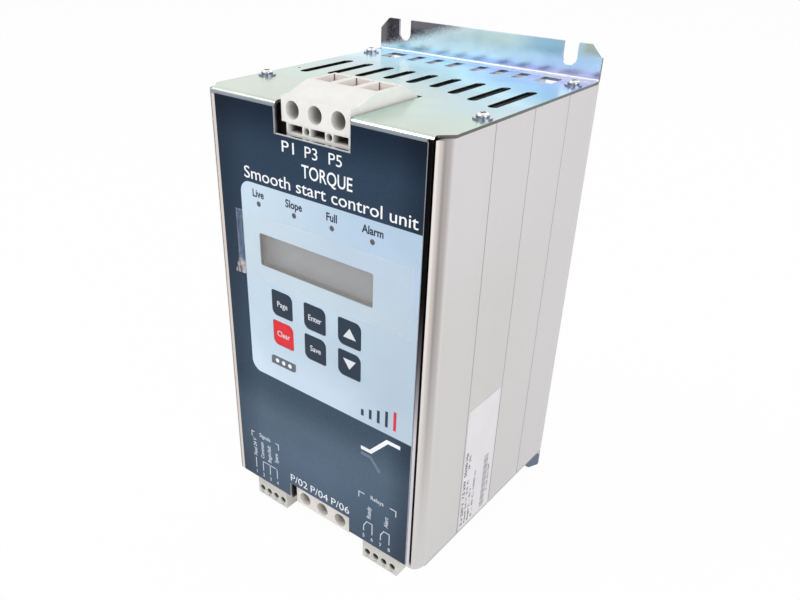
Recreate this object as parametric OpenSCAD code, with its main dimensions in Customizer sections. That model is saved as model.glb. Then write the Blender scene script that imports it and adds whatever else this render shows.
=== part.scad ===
// Compact three-phase motor soft starter for wall mounting.
// An extruded aluminium body with heat sink fins is closed by one folded sheet cover, which
// is also the front, both end plates and both mounting flanges.
// Millimetres. The back mounting plane is y = 0, the front looks towards -y, +z is up.

/* [Body] */
// Overall width of the extruded body
body_w = 120; // [117:0.5:128]
// Height of the extruded body
body_h = 200; // [197:0.5:215]
// Depth from the back plane to the label face
body_d = 120; // [117:0.5:128]
// Thickness of the side walls
wall_t = 2.6; // [2.2:0.1:3]
// Outer radius of the front corners
corner_r = 6; // [5.2:0.1:7]
// How far each front corner reaches in from the side
lip_in = 3.5; // [2.8:0.1:3.6]
// First side groove, measured back from the label face
groove_first = 34; // [31:0.5:36]
// Distance between the side grooves
groove_pitch = 29.25; // [28:0.25:30]
// Width of a side groove
groove_w = 1; // [0.8:0.1:2.4]
// Depth of a side groove
groove_d = 0.5; // [0.4:0.1:1]

/* [Heat sink] */
// Depth of the fins behind the web
fin_depth = 23; // [21:0.5:25]
// Thickness of the web that carries the power modules
web_t = 7; // [6:0.5:8]
// Thickness of a fin
fin_t = 2.6; // [2:0.1:3.2]
// First fin, measured from the middle
fin_first = 12.2; // [11.6:0.1:12.8]
// Distance between the fins
fin_pitch = 10.9; // [10.4:0.1:11.4]
// Thickness of the middle rib, which reaches the wall
rib_t = 5; // [3:0.5:6]
// How far the fins stay off the wall
fin_rest = 1.5; // [0.5:0.1:3]
// Width of the feet along both back edges
foot_w = 8; // [4:0.5:9]
// Thickness of the feet
foot_t = 2.6; // [2:0.1:4]

/* [Cover sheet] */
// Thickness of the folded sheet
sheet_t = 1.2; // [1:0.1:1.8]
// Inside radius of the bends
bend_in = 1; // [0.8:0.1:1.2]
// Gap between the cover and the body at the right front edge
cover_gap = 1.1; // [0.4:0.1:3]
// Gap between the cover and the body at the left front edge
cover_gap_left = 0.5; // [0.4:0.1:3]
// How far a flange reaches past the end of the body
flange_reach = 16; // [15:0.5:20]
// Corner cut on the flanges
flange_cut = 5; // [3:0.5:6]
// Width of the open mounting slots
mount_slot_w = 7.1; // [5.5:0.1:7.5]
// Distance between the mounting slots across
mount_pitch_x = 90; // [82:0.5:94]
// Round end of a mounting slot above the end of the body
mount_rise = 9.75; // [9:0.05:10.5]
// Start of the corner cut on the end plates behind the label face
corner_cut_back = 3.1; // [3.1:0.1:4]
// Distance between the long air slots
slot_pitch = 12.2; // [11.4:0.1:12.6]
// Width of a long air slot
slot_w = 4.5; // [3:0.1:5.4]
// Rear end of the long slots in front of the back plane
slot_back = 37.9; // [36:0.1:41]
// Length of the three middle slots
slot_len = 21; // [16:0.5:23]
// How much longer each slot further out is
slot_step = 4.5; // [3:0.1:5]
// Width of the narrow rear vents
vent_w = 4.4; // [3:0.1:5]
// Length of the rear vents
vent_len = 11.5; // [9:0.1:15]
// Rear end of the vents in front of the back plane
vent_back = 7.3; // [5:0.1:9]
// Middle of the wide outer vents
outer_vent_x = 42; // [41:0.1:42.5]
// Width of the wide outer vents
outer_vent_w = 8.8; // [7:0.1:9]
// Middle of the pilot hole behind the label face
pilot_back = 52.9; // [48:0.1:56]
// Diameter of the pilot hole
pilot_d = 1.6; // [1:0.1:2]

/* [Cover screws] */
// Distance of the screws from the side of the body
screw_in = 5; // [4.7:0.1:5.4]
// Front screws behind the label face
screw_front = 32; // [30:0.1:33]
// Rear screws in front of the back plane
screw_back = 15.3; // [14:0.1:16]
// Outer radius of the screw bosses in the body
boss_r = 3.8; // [3.3:0.1:4.2]
// Diameter of the screw shank
screw_d = 3.9; // [3:0.1:4.2]
// Length of the screw shank
screw_len = 12; // [8:0.5:16]
// Diameter of the screw head
screw_head_d = 5.2; // [5:0.1:7.6]
// Height of the screw head
screw_head_h = 1.6; // [1.6:0.1:3]
// Diameter of the captive washer
washer_d = 7.6; // [7.6:0.1:9.2]
// Thickness of the captive washer
washer_t = 0.6; // [0.5:0.1:1.2]

/* [Front label] */
// Thickness of the label
label_t = 0.5; // [0.3:0.05:0.7]
// Bare sheet beside the label
label_margin = 1.8; // [0.5:0.1:4]
// Label end inside the end of the body
label_end = 1; // [0.5:0.1:3]
// Label edge around the terminal notches
label_notch_gap = 0.4; // [0.2:0.1:1]

/* [Display and lamps] */
// Width of the clear display field
pane_w = 63; // [60:0.5:66]
// Height of the clear display field
pane_h = 15.1; // [14:0.1:16.5]
// Height of the display middle above the middle of the body
pane_z = 35.85; // [34.5:0.05:36.5]
// Corner radius of the display field
pane_r = 1; // [0.5:0.1:2]
// Rim of the clear pane behind the label
pane_rim = 1.35; // [1:0.05:1.6]
// Height of the lamp row
lamp_z = 56.5; // [56:0.1:58]
// Distance between the lamps
lamp_pitch = 20.5; // [18:0.1:22]
// Diameter of a lamp dot
lamp_d = 2.4; // [2:0.1:2.8]

/* [Keys] */
// Width and height of a key
key_w = 12.4; // [11:0.1:12.6]
// Distance between the keys across
key_pitch_x = 19.5; // [17:0.1:22]
// Distance between the key rows
key_pitch_z = 15.3; // [14.8:0.1:16.5]
// Height of the upper key row
key_top_z = 12.1; // [11:0.1:12.4]
// Radius of the two large key corners
key_large_r = 3; // [2:0.1:4]
// Radius of the two small key corners
key_small_r = 1; // [0.5:0.1:1.5]
// Gap around a key in the label
key_gap = 0.15; // [0.1:0.05:0.25]
// Key face behind the label face
key_sink = 0.1; // [0.05:0.05:0.2]
// Travel of a key
key_travel = 0.4; // [0.2:0.05:0.5]
// Diameter of a key stem
key_stem_d = 3.2; // [2.6:0.1:3.6]
// Side of a key switch
switch_w = 6; // [5.6:0.1:7]
// Height of a key switch
switch_h = 3.6; // [3.4:0.1:4]

/* [Film and sticker] */
// Thickness of the clear protective film
film_t = 0.1; // [0.05:0.05:0.15]
// Left edge of the film
film_left = 45.4; // [44:0.1:47]
// Right edge of the film
film_right = 50.7; // [48:0.1:51]
// Top edge of the film
film_top = 51.5; // [50:0.1:53]
// Bottom edge of the film
film_bottom = 21; // [20:0.1:23]
// Pull tab of the film, length
film_tab = 3.6; // [2:0.1:4]
// Pull tab of the film, height
film_tab_h = 9; // [6:0.1:12]
// Width of the side sticker
sticker_w = 27.2; // [20:0.1:27.4]
// Height of the side sticker
sticker_h = 71; // [60:0.5:71]
// Top of the sticker below the middle of the body
sticker_drop = 28.5; // [24:0.5:28.5]
// Front edge of the sticker behind the label face
sticker_front = 34.8; // [34.6:0.1:36.5]
// Thickness of the sticker
sticker_t = 0.15; // [0.1:0.05:0.2]

/* [Power terminals] */
// Distance between the poles
pole_pitch = 11.7; // [11.2:0.1:12.2]
// Pole axis inside the end of the body
pole_in = 1.6; // [1.2:0.1:2]
// Terminal face behind the label face
block_back = 2.5; // [2.2:0.1:3]
// Diameter of the screwdriver holes
access_d = 7.1; // [6.9:0.1:7.4]
// Front edge of the block above the pole axis
block_front_up = 4.8; // [4.4:0.1:5.2]
// Top of the block above the pole axis
block_top_up = 8.5; // [8:0.1:9]
// Rear edge of the block above the pole axis
block_rear_up = 2.8; // [2.6:0.1:3.4]
// Start of the ramp behind the terminal face
ramp_start = 4.5; // [3.5:0.1:5]
// End of the ramp behind the terminal face
ramp_end = 14.5; // [12:0.1:15]
// End of the flat top behind the terminal face
top_end = 31.9; // [31:0.1:34]
// Main face ends this far below the pole axis
face_drop = 5; // [4.9:0.1:5.2]
// Bottom of the block below the pole axis
block_drop = 11; // [10.6:0.1:12]
// Lower strip behind the main face
strip_back = 1.5; // [1.2:0.1:3]
// Lower strip inside the block sides
strip_in = 1; // [0.8:0.1:2]
// Gap between the block and the cover notch
notch_gap = 1.75; // [1:0.05:2]
// Lower edge of the upper notch below the pole axis
notch_drop_line = 9.6; // [9.2:0.1:10]
// Edge of the lower notch above the pole axis
notch_drop_load = 7.7; // [5.8:0.1:8.2]
// Rear of the notch behind the terminal block
notch_behind = 1; // [0.5:0.1:2]
// Width of a clamp cage
cage_w = 8.8; // [8.4:0.1:9]
// Height of a clamp cage
cage_h = 9; // [8.4:0.1:9.2]
// Travel of a clamp cage
cage_travel = 5.6; // [4:0.1:5.8]
// Space for the wire inside an open cage
wire_space = 6.7; // [6:0.1:7]
// Side wall of a cage
cage_side_t = 1; // [0.8:0.1:1.2]
// Threaded front wall of a cage
cage_front_t = 2; // [1.8:0.1:2.2]
// Rear wall of a cage
cage_rear_t = 1.5; // [1.2:0.1:1.8]
// Room around a cage
cage_room = 0.3; // [0.2:0.05:0.35]
// Diameter of a clamp screw shank
clamp_d = 4.9; // [4.4:0.1:5]
// Diameter of a clamp screw head
clamp_head_d = 6.4; // [6:0.1:6.4]
// Height of a clamp screw head
clamp_head_h = 3; // [2.4:0.1:3.4]
// Radial running fit of the clamp screws
clamp_fit = 0.05; // [0.03:0.01:0.08]
// Width of a wire entry
entry_w = 8.6; // [8:0.1:8.8]
// Length of a wire entry
entry_len = 12.5; // [12:0.1:13]
// Width of a busbar
bar_w = 6; // [5.4:0.1:6.1]
// Thickness of a busbar
bar_t = 1.5; // [1.2:0.1:1.6]

/* [Control terminals] */
// Distance between the control poles
ctl_pitch = 5.08; // [4.9:0.01:5.2]
// Middle of a control block inside the side of the body
ctl_in = 23.6; // [23:0.1:24.5]
// End wall of a control block
ctl_end = 0.35; // [0.2:0.05:0.8]
// Gap between a control block and its cut-out
ctl_gap = 0.4; // [0.3:0.05:0.6]
// Bottom of a control block below the end of the body
ctl_below = 13.5; // [12.5:0.1:14]
// Screw axis below the end of the body
ctl_axis_below = 9.2; // [9:0.1:9.4]
// Top of a control block inside the end of the body
ctl_inside = 8; // [7:0.1:9]
// Diameter of the screw holes
ctl_access_d = 3.6; // [2.8:0.1:3.8]
// Diameter of a control screw head
ctl_head_d = 2.5; // [2.3:0.1:2.5]
// Height of a control screw head
ctl_head_h = 1.3; // [1:0.1:1.5]
// Diameter of a control screw shank
ctl_shank_d = 1.9; // [1.6:0.1:2]
// Radial running fit of the control screws
ctl_fit = 0.05; // [0.03:0.01:0.08]
// Screw seat behind the face of the block
ctl_seat = 3.4; // [3.2:0.1:3.6]
// Width of a control wire entry
ctl_wire_w = 3; // [2.6:0.1:3.2]
// Depth of a control wire entry
ctl_wire_d = 2.8; // [2.4:0.1:2.9]

/* [Boards] */
// Thickness of the boards
board_t = 1.6; // [1.4:0.1:1.8]
// Front of the control board behind the label face
control_back = 12.8; // [12.4:0.1:13.2]
// Front of the power board behind the label face
power_back = 44; // [43:0.5:45]
// Width of the control board
control_w = 100; // [98:0.5:103]
// Top of the control board below the end of the body
control_top_in = 26; // [24:0.5:28]
// Bottom of the control board inside the end of the body
control_end_in = 1.5; // [1:0.1:2]
// Gap beside the power board
power_gap = 1; // [0.6:0.1:2]
// Power board inside the end of the body
power_end_in = 4; // [2:0.5:4.5]
// Depth of the display frame
frame_d = 3.7; // [3.4:0.1:4]
// Gap between the cover and the display frame
frame_gap = 2.8; // [2.5:0.1:3]
// Thickness of the display frame metal
frame_t = 0.8; // [0.6:0.1:1]
// Distance between the power modules
module_pitch = 36; // [34:0.5:37]
// Width of a power module
module_w = 28; // [26:0.5:30]
// Height of a power module body
module_h = 46; // [44:0.5:48]
// Depth of a power module
module_d = 18; // [16:0.5:20]
// Thickness of the module base plate
module_base_t = 3; // [2:0.1:4]
// Mounting screws of a module from its middle
module_screw_z = 27.5; // [27.5:0.1:29]
// Distance between the posts of a module
post_pitch = 24; // [22:0.5:26]
// Radius of a post
post_r = 3.5; // [3.2:0.1:4]

/* [Parts on the boards] */
// Width of a bypass relay
relay_w = 24; // [20:0.5:28]
// Height of a bypass relay
relay_h = 30; // [26:0.5:32]
// Depth of a bypass relay
relay_d = 22; // [16:0.5:24]
// Height of the relay row
relay_z = 37; // [36:0.5:40]
// Outer radius of a current transformer
coil_r = 13; // [11:0.5:14]
// Hole radius of a current transformer
coil_hole_r = 6; // [4:0.5:7]
// Depth of a current transformer
coil_d = 9; // [6:0.5:12]
// Current transformers below the middle
coil_drop = 38; // [36:0.5:40]
// Width of the flat cable
ribbon_w = 20; // [16:0.5:24]
// Thickness of the flat cable
ribbon_t = 1.2; // [0.8:0.1:1.6]
// Width of a cable header
header_w = 24; // [20:0.5:28]
// Height of a cable header
header_h = 6; // [5:0.5:8]
// Depth of a cable header
header_d = 8; // [6:0.5:10]
// Flat cable below the middle
ribbon_drop = 65; // [62:0.5:68]
// Side of the processor
chip_w = 14; // [10:0.5:16]
// Thickness of the processor
chip_t = 1.6; // [1:0.1:2]
// Width of a driver chip
driver_w = 8; // [6:0.5:10]
// Height of a driver chip
driver_h = 12; // [10:0.5:14]
// Driver chips beside the middle
driver_x = 25; // [22:0.5:28]
// Driver chips above the middle
driver_z = 12; // [10:0.5:16]
// Height of a lamp on the control board
lamp_h = 4.5; // [3.5:0.1:5]
// Radius of a lamp on the control board
lamp_r = 1.5; // [1.2:0.1:1.8]
// Radius of a display spacer
spacer_r = 2.4; // [2:0.1:2.8]
// Radius of the spigots on a display spacer
spacer_pin_r = 1.2; // [1:0.1:1.4]
// Radius of a standoff of the control board
stand_r = 3; // [2.8:0.1:3.6]
// Radius of the standoff's seat in the cover
spigot_r = 2.2; // [2:0.1:2.6]
// Radius of the screws in the standoffs
board_screw_r = 1.4; // [1:0.1:1.5]
// Radius of the screws in the posts
post_screw_r = 1.9; // [1.5:0.1:2.2]
// Radius of the screws that hold the power modules
module_screw_r = 1.9; // [1.5:0.1:2.2]
// Thread depth of those screws in the web
module_thread = 5; // [4:0.5:5.5]
// Radius of the heads of the board and module screws
head_r = 3.4; // [3:0.1:3.8]
// Height of the heads of the board and module screws
head_h = 2.4; // [1.8:0.1:2.8]
// Radius of the light guides behind the lamp dots
lens_r = 1.9; // [1.7:0.1:2.2]
// Radius of the locating pegs of the power terminals
peg_r = 1.3; // [1:0.1:1.5]
// Depth of the test openings under the screwdriver holes
probe_depth = 13; // [6:0.5:14]
// Width of a test opening
probe_w = 7.4; // [5:0.1:7.6]
// Height of a test opening
probe_h = 3.2; // [2.4:0.1:3.4]
// Drop of the test openings' middle below the face's lower edge
probe_drop = 2.6; // [2.4:0.1:2.7]
// Depth of the round key holes between the test openings
key_hole_depth = 9; // [3:0.5:12]
// Radius of the round key holes
key_hole_r = 1.5; // [0.8:0.1:1.6]
// Width of the mark under a control screw hole
ctl_mark_w = 1.8; // [1.2:0.1:2.4]
// Depth of the mark under a control screw hole
ctl_mark_d = 0.25; // [0.15:0.05:0.4]
// Rounding of the cover screw heads
head_round = 1.3; // [1:0.1:1.6]
// Width of the cross in a cover screw
cross_w = 0.7; // [0.7:0.1:1.1]
// Length of the cross in a cover screw
cross_len = 2.8; // [2.8:0.1:4.2]
// Depth of the cross in a cover screw
cross_d = 0.8; // [0.8:0.1:1.4]

/* [Hidden] */
$fn = 32;
eps = 0.01;
hw = body_w / 2;
hh = body_h / 2;
// Places along the depth
y_label = -body_d;
y_sheet = y_label + label_t;
y_in = y_sheet + sheet_t;
y_web = -fin_depth - web_t;
y_block = y_label + block_back;
y_control = y_label + control_back;
y_control_rear = y_control + board_t;
y_power = y_label + power_back;
y_power_rear = y_power + board_t;
bend_out = bend_in + sheet_t;
front_hw = hw - lip_in - cover_gap;
front_left = hw - lip_in - cover_gap_left;
boss_x = hw - screw_in;
boss_front_y = y_label + screw_front;
boss_rear_y = -screw_back;
thread_fit = 0.05;
// Power terminals
pole_z = hh - pole_in;
block_w = 3 * pole_pitch;
notch_hw = block_w / 2 + notch_gap;
y_notch = y_power + notch_behind;
bar_play = 0.1;
bar_clear = 0.3;
tip_gap = 0.1;
head_clear = 0.25;
seat_wall = 1.1;
y_cage_front = y_power - 24;
y_cage_inner = y_cage_front + cage_front_t;
y_bar = y_cage_inner + 0.5;
y_bar_rear = y_bar + bar_t;
y_cage_rear_in = y_bar_rear + wire_space;
y_cage_rear = y_cage_rear_in + cage_rear_t;
y_chamber = y_cage_front - cage_travel - 0.8;
y_chamber_rear = y_cage_rear + 0.4;
y_seat = y_chamber - seat_wall;
bar_low_z = pole_z - face_drop - 3.6;
// Control terminals
ctl_x = hw - ctl_in;
ctl_w = 4 * ctl_pitch + 2 * ctl_end;
y_ctl = y_in + bend_in + ctl_gap;
ctl_axis_z = -hh - ctl_axis_below;
y_ctl_seat = y_ctl + ctl_seat;
y_wire = y_ctl_seat + 1.4;
y_wire_rear = y_wire + ctl_wire_d;
// Keys
key_room = 0.3;
key_rim = 0.7;
key_rim_t = 0.8;
key_rim_gap = 0.1;
stem_fit = 0.06;
stem_spare = 0.3;
y_switch = y_control - switch_h;
y_stem_end = y_control - 0.5 - key_travel - stem_spare;
// Display
y_frame = y_in + frame_gap;
y_dboard = y_frame + frame_d;
panel_w = pane_w + 4;
panel_h = pane_h + 5.4;
panel_play = 0.1;
dboard_w = pane_w + 17;
dboard_h = pane_h + 20.4;
spacer_x = dboard_w / 2 - 3;
spacer_z = dboard_h / 2 - 3;
// Standoffs of the control board
stand_x = control_w / 2 - 5;
stand_top = hh - control_top_in - 6;
stand_low = -hh + 20;

// Helpers

module block(x0, x1, y0, y1, z0, z1) {
    translate([x0, y0, z0]) cube([x1 - x0, y1 - y0, z1 - z0]);
}

// Rod along the depth
module rod(x, z, r, y0, y1) {
    translate([x, y1, z]) rotate([90, 0, 0]) cylinder(r = r, h = y1 - y0);
}

// Outline in x and z, drawn out along the depth
module along_y(y0, y1) {
    translate([0, y1, 0]) rotate([90, 0, 0]) linear_extrude(height = y1 - y0) children();
}

// Outline in y and z, drawn out across the width
module along_x(len) {
    rotate([90, 0, 90]) linear_extrude(height = len, center = true) children();
}

module middle_square(x, z, w, h) {
    translate([x - w / 2, z - h / 2]) square([w, h]);
}

// Rectangle about a middle with its own radius on each corner
module corner_rect(w, h, tl, tr, br, bl) {
    a = w / 2;
    b = h / 2;
    polygon([[-a, b - tl], [-a + tl, b], [a - tr, b], [a, b - tr],
        [a, -b + br], [a - br, -b], [-a + bl, -b], [-a, -b + bl]]);
    translate([-a + tl, b - tl]) circle(r = tl);
    translate([a - tr, b - tr]) circle(r = tr);
    translate([a - br, -b + br]) circle(r = br);
    translate([-a + bl, -b + bl]) circle(r = bl);
}

module both_ways() {
    children();
    mirror([1, 0]) children();
}

module quarter_ring(sy, sz) {
    intersection() {
        difference() {
            circle(r = bend_out);
            circle(r = bend_in);
        }
        translate([sy < 0 ? -bend_out - 1 : 0, sz < 0 ? -bend_out - 1 : 0])
            square(bend_out + 1);
    }
}

// Extruded body

module side_half() {
    translate([hw - wall_t, y_label + corner_r]) square([wall_t, body_d - corner_r]);
    intersection() {
        translate([hw - corner_r, y_label + corner_r]) difference() {
            circle(r = corner_r, $fn = 48);
            circle(r = corner_r - wall_t, $fn = 48);
        }
        translate([hw - lip_in, y_label - 1]) square([lip_in + 1, corner_r + 1]);
    }
    translate([hw - foot_w, -foot_t]) square([foot_w, foot_t]);
    for (y = [boss_front_y, boss_rear_y]) translate([boss_x, y]) circle(r = boss_r);
    for (k = [0:2])
        translate([fin_first + k * fin_pitch - fin_t / 2, -fin_depth - 1])
            square([fin_t, fin_depth - fin_rest + 1]);
}

module side_cuts() {
    for (y = [boss_front_y, boss_rear_y])
        translate([boss_x, y]) circle(r = screw_d / 2 + thread_fit);
    for (k = [0:2]) {
        y = y_label + groove_first + k * groove_pitch;
        polygon([[hw + eps, y - groove_w / 2], [hw - groove_d, y], [hw + eps, y + groove_w / 2]]);
    }
}

module heatsink_body() {
    color([0.80, 0.80, 0.80]) difference() {
        linear_extrude(height = body_h, center = true) difference() {
            union() {
                both_ways() side_half();
                translate([-hw + wall_t / 2, y_web]) square([body_w - wall_t, web_t]);
                translate([-rib_t / 2, -fin_depth - 1]) square([rib_t, fin_depth + 1]);
            }
            both_ways() side_cuts();
        }
        for (m = [-1:1], s = [-1, 1])
            rod(m * module_pitch, s * module_screw_z, module_screw_r + thread_fit,
                y_web - 1, y_web + module_thread);
    }
}

// Folded cover

module sheet_half() {
    translate([y_sheet, -1]) square([sheet_t, hh - bend_in + 1]);
    translate([y_in + bend_in, hh - bend_in]) quarter_ring(-1, 1);
    translate([y_in + bend_in, hh]) square([-y_in - bend_in - bend_out, sheet_t]);
    translate([-bend_out, hh + bend_out]) quarter_ring(1, -1);
    translate([-sheet_t, hh + bend_out]) square([sheet_t, flange_reach - bend_out]);
}

module air_slot(x, len) {
    y0 = -slot_back - len + slot_w / 2;
    y1 = -slot_back - slot_w / 2;
    translate([x - slot_w / 2, y0]) square([slot_w, y1 - y0]);
    translate([x, y0]) circle(d = slot_w, $fn = 20);
    translate([x, y1]) circle(d = slot_w, $fn = 20);
}

module plate_openings() {
    for (k = [-4:4]) air_slot(k * slot_pitch, slot_len + max(0, abs(k) - 1) * slot_step);
    both_ways() {
        for (k = [0:2])
            translate([fin_first + (k - 0.5) * fin_pitch - vent_w / 2, -vent_back - vent_len])
                square([vent_w, vent_len]);
        translate([outer_vent_x - outer_vent_w / 2, -vent_back - vent_len])
            square([outer_vent_w, vent_len]);
        for (y = [boss_front_y, boss_rear_y]) translate([boss_x, y]) circle(d = screw_d + 0.4);
    }
}

module front_corner_trim(edge) {
    y_cut = y_label + corner_cut_back;
    polygon([[edge, y_label - 1], [hw + 1, y_label - 1], [hw + 1, y_cut + hw - edge + 1], [edge, y_cut]]);
}

module flange_cuts() {
    both_ways() {
        polygon([[hw - flange_cut, hh + flange_reach + eps], [hw + eps, hh + flange_reach + eps],
            [hw + eps, hh + flange_reach - flange_cut]]);
        translate([mount_pitch_x / 2 - mount_slot_w / 2, hh + mount_rise])
            square([mount_slot_w, flange_reach]);
        translate([mount_pitch_x / 2, hh + mount_rise]) circle(d = mount_slot_w);
    }
}

module front_openings() {
    translate([0, pane_z]) middle_square(0, 0, pane_w + 2 * pane_rim + 0.2, pane_h + 2 * pane_rim + 0.2);
    for (k = [-1.5:1.5]) translate([k * lamp_pitch, lamp_z]) circle(r = lens_r + 0.05);
    for (c = [-1:1], r = [0, 1])
        translate([c * key_pitch_x, key_top_z - r * key_pitch_z])
            middle_square(0, 0, key_w + 2 * key_room, key_w + 2 * key_room);
    for (sx = [-1, 1], z = [stand_top, stand_low]) translate([sx * stand_x, z]) circle(r = spigot_r + 0.05);
}

module chassis_cover() {
    color([0.78, 0.80, 0.80]) difference() {
        along_x(body_w) {
            sheet_half();
            mirror([0, 1]) sheet_half();
        }
        linear_extrude(height = body_h + 20, center = true) {
            plate_openings();
            front_corner_trim(front_hw);
            mirror([1, 0]) front_corner_trim(front_left);
        }
        translate([-boss_x - 0.6, y_label + pilot_back, hh - 1]) cylinder(d = pilot_d, h = 4, $fn = 16);
        along_y(-sheet_t - 1, 1) {
            flange_cuts();
            mirror([0, 1]) flange_cuts();
        }
        along_y(y_sheet - 1, y_in + 0.5) front_openings();
        block(-notch_hw, notch_hw, y_sheet - 1, y_notch, pole_z - notch_drop_line, hh + 5);
        block(-notch_hw, notch_hw, y_sheet - 1, y_notch, -hh - 5, -pole_z + notch_drop_load);
        for (s = [-1, 1])
            block(s * ctl_x - ctl_w / 2 - ctl_gap, s * ctl_x + ctl_w / 2 + ctl_gap,
                y_in + bend_in, y_control + ctl_gap, -hh - 5, -hh + 0.4);
    }
}

// Low head with a round upper edge
module pan_head() {
    r = screw_head_d / 2;
    rotate_extrude($fn = 40) polygon(concat([[0, 0], [r, 0]],
        [for (a = [0:15:90]) [r - head_round + head_round * cos(a),
            screw_head_h - head_round + head_round * sin(a)]],
        [[0, screw_head_h]]));
}

module cover_screws() {
    top = washer_t + screw_head_h - cross_d;
    for (s = [-1, 1], y = [boss_front_y, boss_rear_y])
        translate([s * boss_x, y, hh + sheet_t]) difference() {
            union() {
                cylinder(d = washer_d, h = washer_t);
                translate([0, 0, washer_t]) pan_head();
                translate([0, 0, -screw_len]) cylinder(d = screw_d, h = screw_len + 0.1, $fn = 24);
            }
            translate([-cross_len / 2, -cross_w / 2, top]) cube([cross_len, cross_w, 2]);
            translate([-cross_w / 2, -cross_len / 2, top]) cube([cross_w, cross_len, 2]);
        }
}

module cover_screws_top() {
    color([0.82, 0.84, 0.84]) cover_screws();
}

module cover_screws_bottom() {
    color([0.82, 0.84, 0.84]) rotate([0, 180, 0]) cover_screws();
}

// Front label, display and lamps

module front_label() {
    a = front_hw - label_margin;
    b = hh - label_end;
    n = notch_hw + label_notch_gap;
    color([0.18, 0.23, 0.31]) along_y(y_label, y_sheet) difference() {
        middle_square(0, 0, 2 * a, 2 * b);
        translate([-n, pole_z - notch_drop_line - label_notch_gap]) square([2 * n, 40]);
        translate([-n, -pole_z + notch_drop_load + label_notch_gap - 40]) square([2 * n, 40]);
        translate([0, pane_z]) corner_rect(pane_w, pane_h, pane_r, pane_r, pane_r, pane_r);
        for (k = [-1.5:1.5]) translate([k * lamp_pitch, lamp_z]) circle(d = lamp_d);
        for (c = [-1:1], r = [0, 1])
            translate([c * key_pitch_x, key_top_z - r * key_pitch_z]) key_outline(key_gap);
    }
}

module display_pane() {
    color([0.85, 0.9, 0.95, 0.4]) along_y(y_sheet, y_in - 0.1)
        middle_square(0, pane_z, pane_w + 2 * pane_rim, pane_h + 2 * pane_rim);
}

module display_frame() {
    a = panel_w / 2 + panel_play;
    b = panel_h / 2 + panel_play;
    color([0.15, 0.15, 0.16]) difference() {
        block(-a - frame_t, a + frame_t, y_frame, y_dboard, pane_z - b - frame_t, pane_z + b + frame_t);
        block(-a, a, y_frame + frame_t, y_dboard + 1, pane_z - b, pane_z + b);
        block(-pane_w / 2 - 0.8, pane_w / 2 + 0.8, y_frame - 1, y_dboard,
            pane_z - pane_h / 2 - 0.8, pane_z + pane_h / 2 + 0.8);
    }
}

module display_panel() {
    color([0.62, 0.64, 0.62])
        block(-panel_w / 2, panel_w / 2, y_frame + frame_t, y_dboard,
            pane_z - panel_h / 2, pane_z + panel_h / 2);
}

module display_board() {
    color([0.1, 0.35, 0.2]) difference() {
        block(-dboard_w / 2, dboard_w / 2, y_dboard, y_dboard + board_t,
            pane_z - dboard_h / 2, pane_z + dboard_h / 2);
        for (sx = [-1, 1], sz = [-1, 1])
            rod(sx * spacer_x, pane_z + sz * spacer_z, spacer_pin_r + thread_fit,
                y_dboard - 1, y_dboard + board_t + 1);
    }
}

module display_spacers() {
    color([0.9, 0.9, 0.86]) for (sx = [-1, 1], sz = [-1, 1]) {
        rod(sx * spacer_x, pane_z + sz * spacer_z, spacer_r, y_dboard + board_t, y_control);
        rod(sx * spacer_x, pane_z + sz * spacer_z, spacer_pin_r, y_dboard + 0.1, y_control_rear - 0.1);
    }
}

module protective_film() {
    color([0.9, 0.95, 1, 0.3]) along_y(y_label - film_t, y_label) {
        translate([-film_left, film_bottom]) square([film_left + film_right, film_top - film_bottom]);
        translate([-film_left - film_tab, film_bottom + 2]) square([film_tab + 1, film_tab_h]);
    }
}

module side_sticker() {
    color([0.95, 0.95, 0.94])
        block(hw, hw + sticker_t, y_label + sticker_front, y_label + sticker_front + sticker_w,
            -sticker_drop - sticker_h, -sticker_drop);
}

module lamp_lenses() {
    color([0.6, 0.62, 0.62]) for (k = [-1.5:1.5]) {
        rod(k * lamp_pitch, lamp_z, lamp_d / 2 - 0.05, y_label + 0.1, y_sheet + 0.1);
        rod(k * lamp_pitch, lamp_z, lens_r, y_sheet, y_control - lamp_h);
    }
}

module lamps() {
    color([0.9, 0.9, 0.85]) for (k = [-1.5:1.5]) {
        rod(k * lamp_pitch, lamp_z, lamp_r, y_control - lamp_h, y_control);
    }
}

// Keys

module key_outline(grow) {
    offset_w = key_w + 2 * grow;
    corner_rect(offset_w, offset_w, key_small_r + grow, key_large_r + grow,
        key_small_r + grow, key_large_r + grow);
}

module key_part(c, r, tint) {
    x = c * key_pitch_x;
    z = key_top_z - r * key_pitch_z;
    y_rim = y_in + key_rim_gap;
    color(tint) {
        translate([x, 0, z]) along_y(y_label + key_sink, y_rim + 0.2) key_outline(0);
        translate([x, 0, z]) along_y(y_rim, y_rim + key_rim_t)
            middle_square(0, 0, key_w + 2 * key_rim, key_w + 2 * key_rim);
        rod(x, z, key_stem_d / 2, y_rim + 0.2, y_stem_end);
    }
}

module key_switches() {
    color([0.12, 0.12, 0.12]) for (c = [-1:1], r = [0, 1]) {
        x = c * key_pitch_x;
        z = key_top_z - r * key_pitch_z;
        difference() {
            block(x - switch_w / 2, x + switch_w / 2, y_switch, y_control,
                z - switch_w / 2, z + switch_w / 2);
            rod(x, z, key_stem_d / 2 + stem_fit, y_switch - 1, y_control - 0.5);
        }
    }
}

// Boards and what they carry

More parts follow.
